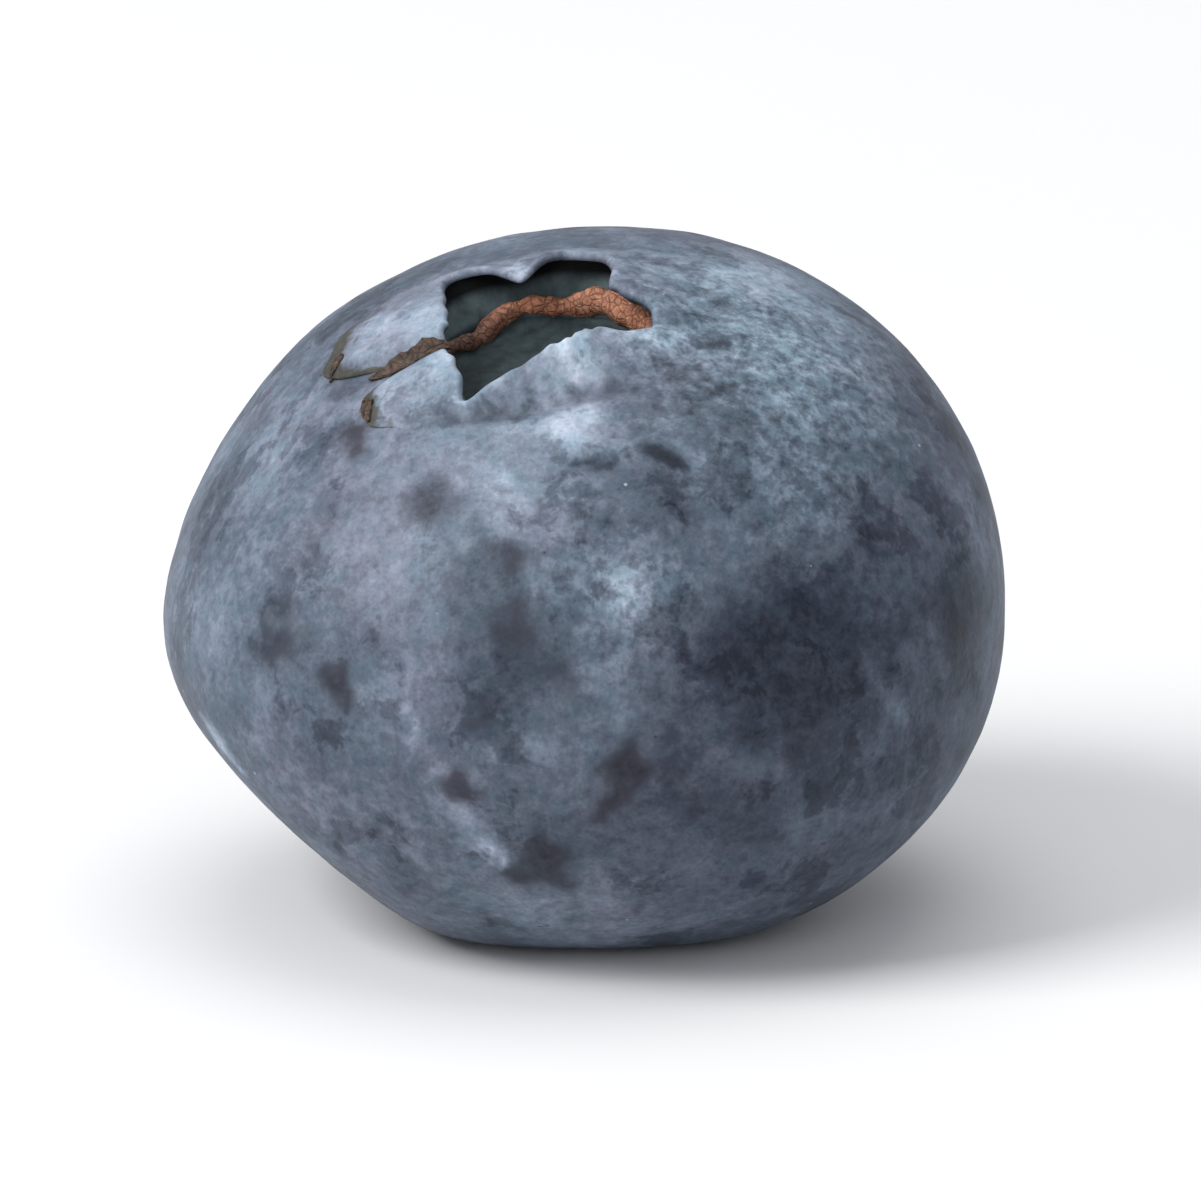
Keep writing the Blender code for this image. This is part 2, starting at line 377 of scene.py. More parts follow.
class Shape:
    """Formulas that the pieces share."""

    @staticmethod
    def total(where: np.ndarray, forms: tuple[Form, ...]) -> np.ndarray:
        """The forms' heights together, at each angle or point."""
        return sum(form.at(where) for form in forms)

    @staticmethod
    def rise(value: np.ndarray, low: float, high: float) -> np.ndarray:
        """A smooth rise from 0 at the low value to 1 at the high one."""
        share = np.clip((value - low) / (high - low), 0.0, 1.0)
        return share * share * (3.0 - 2.0 * share)

    @staticmethod
    def above(value: np.ndarray, softness: float) -> np.ndarray:
        """What is above 0, starting softly."""
        return (value + np.sqrt(value ** 2 + softness ** 2)) / 2.0

    @staticmethod
    def ridge(value: np.ndarray, middle: float, width: float) -> np.ndarray:
        """A smooth ridge of height 1 along a middle value, a third as high a width away."""
        return np.exp(-(((value - middle) / width) ** 2))

    @staticmethod
    def polar(points: np.ndarray) -> tuple[np.ndarray, np.ndarray, np.ndarray]:
        """The points' radii round Z, their angles in radians and their levels."""
        east, north = points[:, 0], points[:, 1]
        return np.hypot(east, north), np.arctan2(north, east), points[:, 2].copy()

    @staticmethod
    def upright(radius: np.ndarray, turn: np.ndarray, level: np.ndarray) -> np.ndarray:
        """Points from radii round Z, angles in radians and levels."""
        return np.stack((radius * np.cos(turn), radius * np.sin(turn), level), axis=1)

    @staticmethod
    def line(start: tuple[float, float], end: tuple[float, float], count: int) -> Outline:
        """Even steps from a point in radius and level, which is left out, to another."""
        out, up = end[0] - start[0], end[1] - start[1]
        shares = [step / count for step in range(1, count + 1)]
        return [(start[0] + out * share, start[1] + up * share) for share in shares]

    @staticmethod
    def arc(centre: tuple[float, float], radius: float, start: float, end: float, count: int) -> Outline:
        """Even steps along an arc in radius and level, between degrees from the outward direction."""
        turns = [math.radians(start + (end - start) * step / count) for step in range(count + 1)]
        return [(centre[0] + radius * math.cos(turn), centre[1] + radius * math.sin(turn)) for turn in turns]

    @staticmethod
    def loop(turn: np.ndarray, angles: list[float], sizes: list[float]) -> np.ndarray:
        """A smooth closed curve round the crown through given sizes.

        Args:
            turn: Angles in radians, where it is read.
            angles: The given angles in degrees, rising.
            sizes: The size at each of them.

        Returns:
            The size at each angle of turn.
        """
        knots = np.array(angles)
        heights = np.array(sizes)
        knots = np.concatenate((knots[-2:] - 360.0, knots, knots[:2] + 360.0))
        heights = np.concatenate((heights[-2:], heights, heights[:2]))
        slopes = np.gradient(heights, knots)
        degrees = np.degrees(turn) % 360.0
        after = np.searchsorted(knots, degrees, side="right")
        before = after - 1
        gap = knots[after] - knots[before]
        share = (degrees - knots[before]) / gap
        rise = share * share * (3.0 - 2.0 * share)
        bend = share * (1.0 - share) * gap * ((1.0 - share) * slopes[before] - share * slopes[after])
        return heights[before] * (1.0 - rise) + heights[after] * rise + bend


@dataclass(frozen=True)
class Hump:
    """A smooth hump round the crown: its middle and width in degrees, and its height."""

    middle: float
    width: float
    height: float = 1.0

    def at(self, where: np.ndarray) -> np.ndarray:
        """The hump's height at angles in radians."""
        away = (np.degrees(where) - self.middle + 180.0) % 360.0 - 180.0
        return self.height * Shape.ridge(away, 0.0, self.width)


@dataclass(frozen=True)
class Ripple:
    """Uneven waves that close round the crown: their fewest and most, the draw's seed and their height."""

    fewest: int
    most: int
    seed: int
    height: float = 1.0

    def at(self, where: np.ndarray) -> np.ndarray:
        """The waves' height, which mostly stays within their own height above and below 0.

        Args:
            where: Angles in radians.

        Returns:
            The height at each angle.
        """
        draw = np.random.default_rng(self.seed)
        total = np.zeros_like(where)
        power = 0.0
        for count in range(self.fewest, self.most + 1):
            size = draw.normal() / count ** 0.5
            total += size * np.cos(count * where + draw.uniform(0.0, math.tau))
            power += size * size / 2
        return self.height * total / (2.0 * math.sqrt(power))


@dataclass(frozen=True)
class Patch:
    """A soft spot on the skin, full in its core: millimetres in the shared frame."""

    middle: Place
    radius: float
    amount: float
    core: float = 0.0

    def at(self, where: np.ndarray) -> np.ndarray:
        """The spot's amount at points in millimetres."""
        away = np.linalg.norm(where - np.array(self.middle), axis=1)
        return self.amount * (1.0 - Shape.rise(away, self.radius * self.core, self.radius))


@dataclass(frozen=True)
class Scuff:
    """A soft streak on the skin that tapers to its ends: millimetres in the shared frame."""

    start: Place
    end: Place
    width: float
    amount: float
    taper: ClassVar[float] = 0.7

    def at(self, where: np.ndarray) -> np.ndarray:
        """The streak's amount at points of the skin.

        Args:
            where: The points in millimetres.

        Returns:
            The amount at each point.
        """
        along = np.array(self.end) - np.array(self.start)
        share = np.clip((where - np.array(self.start)) @ along / (along @ along), 0.0, 1.0)
        away = np.linalg.norm(where - np.array(self.start) - share[:, None] * along, axis=1)
        thinned = away / (1.0 - self.taper * (2.0 * share - 1.0) ** 2)
        return self.amount * (1.0 - Shape.rise(thinned, 0.0, self.width))


@dataclass(frozen=True)
class Wobble:
    """Smooth waves that move points about, so that spots read there aren't round."""

    size: float
    reach: float
    seed: int
    waves: ClassVar[int] = 10

    def moved(self, points: np.ndarray) -> np.ndarray:
        """The points after the waves have moved them.

        Args:
            points: The points in millimetres, a row each.

        Returns:
            The moved points.
        """
        draw = np.random.default_rng(self.seed)
        moved = points.copy()
        for _ in range(self.waves):
            way = draw.normal(size=3)
            phase = points @ way / np.linalg.norm(way) / (self.size * draw.uniform(0.5, 1.6))
            swing = np.sin(math.tau * phase + draw.uniform(0.0, math.tau))
            moved += np.outer(swing, draw.normal(size=3)) * self.reach / 3.0
        return moved


@dataclass(frozen=True)
class Fray:
    """How noise breaks up a mark's edge: the mark's gain, each noise's share, and its start and end."""

    gain: float
    mottle: float
    clumps: float
    start: float
    full: float

    def applied(self, mark: Value, mottle: Value, clumps: Value) -> Value:
        """The mark with its edge broken up, from 0 to 1."""
        noise = (mottle - 0.5) * self.mottle + (clumps - 0.5) * self.clumps
        return (mark * self.gain + noise).step(self.start, self.full)


@dataclass(frozen=True)
class BloomedSkin:
    """Blue-black skin under a pale waxy bloom of uneven thickness."""

    axis_origin: Place
    axis_turn: Place
    usual_thickness: float = 0.43
    stops: Stops = (
        (0.00, (0.013, 0.017, 0.029)),
        (0.22, (0.040, 0.051, 0.075)),
        (0.42, (0.088, 0.109, 0.147)),
        (0.60, (0.165, 0.203, 0.262)),
        (0.78, (0.285, 0.350, 0.435)),
        (1.00, (0.500, 0.580, 0.680)),
    )
    patches: tuple[Patch, ...] = (
        # The first two are painted highlights on the skin just under the crown.
        Patch((-1.6, -4.6, 10.3), 2.2, 0.17),
        Patch((-0.1, -4.5, 10.7), 1.2, 0.37),
        Patch((-4.3, -5.4, 8.3), 3.4, 0.04),
        Patch((-7.1, -3.1, 7.0), 3.0, 0.02),
        # Painted light: the bottom is lightened where the floor's light reaches it.
        Patch((-0.6, -5.6, 1.1), 3.0, 0.15),
        Patch((-5.4, -1.6, 9.8), 2.4, 0.16),
        Patch((0.9, -6.9, 7.8), 0.9, 0.14),
        Patch((2.6, 0.2, 12.2), 2.4, 0.18),
        Patch((4.6, -0.6, 11.2), 2.4, 0.10),
        Patch((2.8, -4.0, 10.7), 1.5, -0.16),
        Patch((-3.4, -6.1, 8.1), 1.5, 0.10),
        Patch((-4.5, -1.8, 10.5), 0.8, -0.14),
        Patch((1.2, -5.8, 9.3), 1.7, -0.16, 0.2),
        Patch((-1.6, -6.5, 8.4), 0.9, -0.20),
        Patch((4.6, -5.8, 5.0), 5.6, -0.20, 0.1),
        Patch((4.0, -6.3, 6.4), 2.6, -0.17, 0.2),
        Patch((7.1, -3.6, 6.3), 1.7, -0.34),
        Patch((7.3, -2.8, 4.3), 1.8, -0.12),
        Patch((2.3, -6.7, 7.2), 1.4, -0.16),
        Patch((-1.2, -7.2, 7.0), 1.9, -0.24),
        Patch((1.5, -7.3, 3.6), 3.6, -0.12),
        Patch((-3.8, -6.2, 4.2), 3.0, -0.04),
        Patch((-2.9, -5.4, 9.3), 0.9, -0.40),
        Patch((-3.6, -2.6, 10.7), 0.7, 0.10),
    )
    bruises: tuple[Patch, ...] = (
        Patch((-5.8, -5.1, 6.5), 1.20, 0.85),
        Patch((-4.6, -6.2, 6.0), 0.75, 1.5),
        Patch((-2.2, -7.2, 4.3), 0.70, 1.1),
        Patch((0.7, -7.5, 4.6), 0.80, 1.7),
        Patch((0.4, -7.4, 3.9), 0.60, 1.2),
        Patch((-0.8, -6.9, 2.7), 1.15, 1.4),
        Patch((-1.5, -6.4, 8.5), 0.60, 1.0),
        Patch((-1.9, -7.4, 5.7), 0.80, 0.7),
        Patch((3.0, -6.5, 3.0), 0.80, 0.6),
        Patch((-1.3, -7.2, 7.2), 1.10, 0.9),
        Patch((-4.3, -3.3, 10.0), 0.75, 1.2),
        Patch((-0.4, -7.5, 6.4), 0.70, 0.6),
    )
    rubs: tuple[Scuff, ...] = (
        Scuff((-0.7, -5.35, 10.0), (0.8, -5.3, 9.98), 0.34, 1.1),
        Scuff((0.9, -4.9, 10.35), (2.1, -5.3, 9.80), 0.34, 2.0),
        Scuff((4.4, -6.4, 7.6), (4.6, -6.2, 6.0), 0.45, 0.6),
        Scuff((6.9, -4.0, 6.9), (7.1, -3.6, 5.9), 0.42, 1.0),
        Scuff((-2.6, -5.3, 9.5), (-2.0, -5.6, 9.2), 0.40, 0.45),
    )
    scuffs: tuple[Scuff, ...] = (
        Scuff((-3.4, -6.9, 5.6), (-1.5, -6.8, 2.6), 0.50, 0.40),
        Scuff((-1.6, -5.3, 9.8), (1.4, -7.1, 6.9), 0.60, 0.10),
        Scuff((-1.2, -7.4, 5.8), (0.2, -7.3, 3.9), 0.60, 0.12),
        Scuff((4.9, -6.2, 7.3), (6.1, -5.0, 4.6), 0.34, 0.20),
        Scuff((6.3, -4.7, 7.0), (6.9, -4.0, 5.0), 0.30, 0.18),
        Scuff((3.3, -6.9, 6.0), (3.7, -6.6, 4.2), 0.32, 0.14),
        Scuff((2.2, -7.3, 5.0), (4.2, -6.6, 4.0), 0.30, 0.12),
        # Painted highlight along the lower left facet.
        Scuff((-7.2, -2.9, 4.7), (-6.3, -4.0, 3.3), 0.45, 0.36),
    )
    frosts: tuple[Patch, ...] = (
        Patch((3.3, -2.6, 11.2), 4.6, 0.9),
        Patch((0.5, -6.9, 7.9), 2.2, 0.7),
        Patch((4.4, -5.6, 8.6), 2.4, 0.3),
    )
    spot_edges: Wobble = Wobble(0.8, 0.07, 97)
    bruise_edges: Wobble = Wobble(1.2, 0.16, 98)
    drift: Cloud = Cloud(0.8, 1.0, 0.6, 0.26)
    swells: Cloud = Cloud(4.6, 1.0, height=0.30)
    blotches: Cloud = Cloud(1.4, 4.0, 0.62, 0.56)
    smears: Cloud = Cloud(2.2, 5.0, 0.70)
    smear_shift: Place = (3.1, 5.7, 1.9)
    smear_depth: float = 0.15
    net: Cloud = Cloud(0.62, 2.0)
    clumps: Cloud = Cloud(0.24, 3.0, 0.65)
    grains: Cloud = Cloud(0.075, 1.0, height=0.14)
    mottling: Cloud = Cloud(0.45, 2.0)
    hues: Cloud = Cloud(2.6, 1.0)
    fine_relief: Cloud = Cloud(0.07, 1.0, height=0.32)
    coarse_relief: Cloud = Cloud(0.35, 2.0, height=0.65)
    relief_depth: float = 0.022 * MM
    rub_fray: Fray = Fray(1.1, 1.4, 2.2, 0.10, 2.00)
    bruise_fray: Fray = Fray(1.3, 1.7, 1.9, 0.16, 1.55)
    # How strongly the painted shade along the lobes' foot darkens, as a share of a bruise.
    foot_shade_share: float = 0.85 / 1.3
    dry_fray: Fray = Fray(1.4, 0.0, 1.8, 0.35, 0.95)
    red_tint: Colour = (1.08, 0.99, 1.00)
    teal_tint: Colour = (0.80, 1.03, 1.04)
    frost_tint: Colour = (0.90, 1.00, 0.98)
    bruise_tint: Colour = (1.16, 0.98, 0.90)
    rub_tint: Colour = (0.50, 0.52, 0.57)
    wax_colour: Colour = (0.50, 0.58, 0.66)
    dot_gap: float = 0.70
    dot_radius: float = 0.045
    dot_share: float = 0.16
    crater_stops: Stops = (
        (0.0, (0.013, 0.021, 0.024)),
        (0.5, (0.035, 0.054, 0.061)),
        (1.0, (0.125, 0.172, 0.186)),
    )
    crater_grain: Cloud = Cloud(0.35, 3.0, 0.6)
    crater_stretch: Place = (1.0, 1.0, 0.35)
    crater_shade: float = -0.34
    wall_light: float = 0.60
    # Painted shade: near black, put where the wall's hollows lie in the lip's shadow.
    painted_pocket_shade_colour: Colour = (0.003, 0.004, 0.005)
    dry_stops: Stops = (
        (0.0, (0.016, 0.015, 0.012)),
        (0.5, (0.046, 0.044, 0.034)),
        (1.0, (0.120, 0.116, 0.090)),
    )

    def mark(self, piece: bpy.types.Object) -> None:
        """Keeps on a piece's points where the bloom is uneven, bruised, rubbed off or frosty, and where
        highlights and light are painted.

        Args:
            piece: The piece, in its place.
        """
        points = self.spot_edges.moved(Bench.points(piece) * MILLIMETRES_PER_METRE)
        Bench.mark(piece, {
            # Uneven bloom, plus painted highlights under the crown and on the lower left facet, and painted
            # light on the bottom.
            "bloom": Shape.total(points, self.patches + self.scuffs),
            "bruise": Shape.total(self.bruise_edges.moved(points), self.bruises),
            "rub": Shape.total(points, self.rubs),
            "frost": Shape.total(points, self.frosts),
        })

    def thickness(self, graph: Graph, place: Flow, clumps: Value) -> Value:
        """How thick the bloom is, with painted highlights on the lobes, about 0 to 1.

        Args:
            graph: The material's graph.
            place: The point, in millimetres.
            clumps: Noise the size of the wax's clumps.

        Returns:
            The thickness.
        """
        loose = graph.wander(place, self.drift)
        thick = graph.attribute("bloom") + self.usual_thickness + graph.uneven(loose, self.swells)
        thick = thick + graph.uneven(loose, self.blotches)
        smeared = graph.noise(loose + self.smear_shift, self.smears).step(0.54, 0.60)
        thick = thick - smeared * self.smear_depth
        frost = graph.attribute("frost")
        net = 0.5 - graph.noise(loose, self.net).away(0.5) * 4.0
        thick = thick + net * (frost * 0.22 + 0.07) + (clumps - 0.5) * (frost * 0.80 + 0.46)
        thick = thick + graph.uneven(place, self.grains)
        thick = thick + graph.attribute("lobe") * 0.05 + graph.attribute("rim") * 0.14
        # Painted highlights: the bloom is thickened to pale on parts of the lobes.
        return thick + graph.attribute("frosted") * 0.24

    def material(self) -> bpy.types.Material:
        """The skin's material, with the calyx and the crater by the piece's own attributes.

        Returns:
            The material.
        """
        graph = Graph("bloomed_skin")
        place = graph.millimetres()
        clumps = graph.noise(place, self.clumps)
        mottle = graph.noise(place, self.mottling)
        rub = self.rub_fray.applied(graph.attribute("rub"), mottle, clumps)
        # Real bruises, plus painted shade: a dark mauve band along the foot of the front lobes, drawn like a
        # bruise.
        bruise_and_foot_shade = graph.attribute("bruise") + graph.attribute("foot") * self.foot_shade_share
        bruise = self.bruise_fray.applied(bruise_and_foot_shade, mottle, clumps)
        thick = self.thickness(graph, place, clumps) * (1.0 - rub * 0.88) * (1.0 - bruise * 0.76)
        thick = thick + (bruise + rub) * ((clumps - 0.5) * 0.34 + (mottle - 0.5) * 0.30)
        colour = graph.ramp(thick, self.stops)
        colour = graph.tinted(graph.noise(place, self.hues).step(0.38, 0.66), colour, self.red_tint)
        colour = graph.tinted(mottle.step(0.44, 0.70) * 0.5, colour, self.teal_tint)
        colour = graph.tinted(graph.attribute("frost"), colour, self.frost_tint)
        colour = graph.tinted(bruise, colour, self.bruise_tint)
        colour = graph.tinted(rub, colour, self.rub_tint)
        flecks, pores = graph.dots(place, self.dot_gap, self.dot_radius, self.dot_share)
        colour = graph.mix(flecks * 0.50, colour, self.wax_colour)
        colour = graph.mix(pores * 0.60, colour, self.stops[0][1])

        crater = graph.attribute("crater")
        upright = graph.turned(place, self.axis_origin, self.axis_turn)
        deep = graph.noise(upright * self.crater_stretch, self.crater_grain)
        # Painted light and shade in the crater: the wall is painted lighter than the floor, and the whole
        # crater darker by crater_shade.
        deep = deep + graph.attribute("wall") * self.wall_light + self.crater_shade
        colour = graph.mix(crater, colour, graph.ramp(deep, self.crater_stops))
        # Painted shade: the hollows under the back lip are painted near black, standing in for the shadow
        # there.
        colour = graph.mix((graph.attribute("pocket") * 1.5).clamped(), colour, self.painted_pocket_shade_colour)
        dry = self.dry_fray.applied(graph.attribute("dry"), mottle, clumps)
        colour = graph.mix(dry * 0.95, colour, graph.ramp(clumps, self.dry_stops))

        height = graph.noise(place, self.fine_relief) + graph.noise(place, self.coarse_relief)
        return graph.finish({
            "Base Color": colour,
            "Roughness": 0.44 + thick.clamped() * 0.24 + crater * 0.08 + dry * 0.12,
            "Normal": graph.bump(height, self.relief_depth),
            "Specular IOR Level": 0.20,
        })


@dataclass(frozen=True)
class RustCork:
    """Dead corky tissue, from dark umber in its cracks to rust and tan where it stands proud."""

    name: str
    stops: Stops = (
        (0.20, (0.018, 0.010, 0.008)),
        (0.42, (0.080, 0.042, 0.030)),
        (0.62, (0.190, 0.105, 0.072)),
        (0.85, (0.400, 0.260, 0.190)),
    )
    # Brighter copper colours, also used as painted light on the ring.
    copper_and_lit_stops: Stops = (
        (0.20, (0.120, 0.036, 0.022)),
        (0.42, (0.380, 0.140, 0.080)),
        (0.62, (0.640, 0.290, 0.170)),
        (0.85, (0.800, 0.500, 0.350)),
    )
    grain: float = 0.10
    pale_share: float = 0.25
    pale_colour: Colour = (0.42, 0.33, 0.27)
    fibre_drift: Cloud = Cloud(0.3, 1.0, 0.6, 0.08)
    crack_drift: Cloud = Cloud(0.2, 1.0, 0.6, 0.06)
    broad: Cloud = Cloud(0.7, 2.0)
    pale_patches: Cloud = Cloud(0.35, 3.0)
    relief_depth: float = 0.030 * MM

    def material(self) -> bpy.types.Material:
        """The cork's nodes.

        Returns:
            The material.
        """
        graph = Graph(self.name)
        place = graph.millimetres()
        fibres = graph.noise(graph.wander(place, self.fibre_drift), Cloud(self.grain, 4.0, 0.65))
        broad = graph.noise(place, self.broad)
        shade = fibres * 0.75 + broad * 0.35 - 0.04
        colour = graph.ramp(shade, self.stops)
        pale = graph.noise(place, self.pale_patches).step(0.56, 0.70) * self.pale_share
        colour = graph.mix(pale, colour, self.pale_colour)
        # Brighter copper where the ring's mark says, partly painted light.
        colour = graph.mix(graph.attribute("worn") * 0.8, colour, graph.ramp(shade, self.copper_and_lit_stops))
        cracks = graph.cracks(graph.wander(place, self.crack_drift), self.grain * 1.7)
        colour = graph.mix(cracks.step(0.09, 0.0) * 0.6, colour, self.stops[0][1])
        height = fibres * 0.8 + cracks.step(0.0, 0.12) * 0.4
        return graph.finish({
            "Base Color": colour,
            "Roughness": 0.62 + broad * 0.2,
            "Normal": graph.bump(height, self.relief_depth),
            "Specular IOR Level": 0.35,
        })


@dataclass(frozen=True)
class PaleFloor:
    """A matt white studio surface with the faintest unevenness."""

    colour: Colour = (0.75, 0.75, 0.76)
    shaded: Colour = (0.73, 0.73, 0.74)
    patches: Cloud = Cloud(18.0, 1.0)

    def material(self) -> bpy.types.Material:
        """The floor's nodes.

        Returns:
            The material.
        """
        graph = Graph("pale_floor")
        speck = graph.noise(graph.millimetres(), self.patches)
        colour = graph.mix(speck.step(0.35, 0.7) * 0.25, self.colour, self.shaded)
        rough = 0.62 + speck * 0.1
        return graph.finish({"Base Color": colour, "Roughness": rough, "Specular IOR Level": 0.30})


class Bench:
    """Blender's modelling operators, used on one object with nothing else selected."""

    @staticmethod
    def clear() -> None:
        """Leaves edit mode and deselects everything."""
        active = bpy.context.view_layer.objects.active
        if active is not None and active.mode != "OBJECT":
            bpy.ops.object.mode_set(mode="OBJECT")
        bpy.ops.object.select_all(action="DESELECT")

    @staticmethod
    def pick(piece: bpy.types.Object) -> None:
        """Makes a piece the active one and the only one selected.

        Args:
            piece: The piece.
        """
        Bench.clear()
        bpy.context.view_layer.objects.active = piece
        piece.select_set(True)

    @staticmethod
    def take(name: str) -> bpy.types.Object:
        """Names the primitive that was just added and applies its place.

        Args:
            name: The piece's name.

        Returns:
            The piece.
        """
        piece = bpy.context.active_object
        piece.name = name
        piece.data.name = name
        bpy.ops.object.transform_apply(location=True, rotation=True, scale=True)
        return piece

    @staticmethod
    def seal() -> None:
        """Merges the points that coincide, turns the faces outwards and leaves edit mode."""
        bpy.ops.mesh.select_all(action="SELECT")
        bpy.ops.mesh.remove_doubles(threshold=MERGE_DISTANCE)
        bpy.ops.mesh.normals_make_consistent(inside=False)
        bpy.ops.object.mode_set(mode="OBJECT")

    @staticmethod
    def spun(name: str, outline: Outline, steps: int) -> bpy.types.Object:
        """A closed body spun round Z from an outline, which is drawn by extruding one vertex.

        Args:
            name: The piece's name.
            outline: Pairs of radius and level, from the axis to the axis.
            steps: How many steps go round.

        Returns:
            The piece.
        """
        points = [Vector((radius, 0.0, level)) for radius, level in outline]
        Bench.clear()
        bpy.ops.mesh.primitive_plane_add(size=MM, location=points[0])
        piece = Bench.take(name)
        bpy.ops.object.mode_set(mode="EDIT")
        bpy.ops.mesh.merge(type="CENTER")
        for start, end in zip(points, points[1:]):
            bpy.ops.mesh.extrude_region_move(TRANSFORM_OT_translate={"value": end - start})
        bpy.ops.mesh.select_all(action="SELECT")
        bpy.ops.mesh.spin(steps=steps, angle=math.tau, center=(0.0, 0.0, 0.0), axis=(0.0, 0.0, 1.0))
        Bench.seal()
        return piece

    @staticmethod
    def points(piece: bpy.types.Object) -> np.ndarray:
        """The piece's points.

        Args:
            piece: The piece.

        Returns:
            A row for each point.
        """
        flat = np.empty(len(piece.data.vertices) * 3, dtype=np.float32)
        piece.data.vertices.foreach_get("co", flat)
        return flat.reshape(-1, 3).astype(float)

    @staticmethod
    def move(piece: bpy.types.Object, points: np.ndarray) -> None:
        """Sets the piece's points from a row for each."""
        piece.data.vertices.foreach_set("co", points.astype(np.float32).ravel())
        piece.data.update()

    @staticmethod
    def relief(piece: bpy.types.Object, size: float, height: float, group: str = "") -> None:
        """Raises and sinks the piece's surface by cloudy noise, and applies it.

        Args:
            piece: The piece.
            size: The noise's size.
            height: How far the highest and lowest places are apart.
            group: The vertex group that it is limited to.
        """
        texture = bpy.data.textures.new(piece.name + "_relief", "CLOUDS")
        texture.noise_scale = size
        texture.noise_depth = 2
        texture.noise_basis = "IMPROVED_PERLIN"
        modifier = piece.modifiers.new("relief", "DISPLACE")
        modifier.texture = texture
        modifier.texture_coords = "LOCAL"
        modifier.mid_level = 0.5
        modifier.strength = height
        modifier.vertex_group = group
        Bench.apply(piece)

    @staticmethod
    def apply(piece: bpy.types.Object) -> None:
        """Applies the piece's modifiers in order.

        Args:
            piece: The piece.
        """
        Bench.pick(piece)
        for modifier in list(piece.modifiers):
            bpy.ops.object.modifier_apply(modifier=modifier.name)

    @staticmethod
    def smooth(piece: bpy.types.Object, degrees: float) -> None:
        """Shades the piece smooth, with edges sharper than an angle left sharp."""
        Bench.pick(piece)
        bpy.ops.object.shade_smooth_by_angle(angle=math.radians(degrees))

    @staticmethod
    def mark(piece: bpy.types.Object, marks: dict[str, np.ndarray]) -> None:
        """Keeps numbers on each of the piece's points, for its material.

        Args:
            piece: The piece.
            marks: The numbers, by the attribute's name.
        """
        for name, values in marks.items():
            attribute = piece.data.attributes.new(name, "FLOAT", "POINT")
            attribute.data.foreach_set("value", values.astype(np.float32))


@dataclass(frozen=True)
class CrownPlace:
    """The crown at one angle: where its lip and its lobe's edge are, and how high they stand."""

    angle: float
    lip: float
    rise: float
    reach: float
    lip_relief: float
    edge_relief: float
    groove: float = 0.0


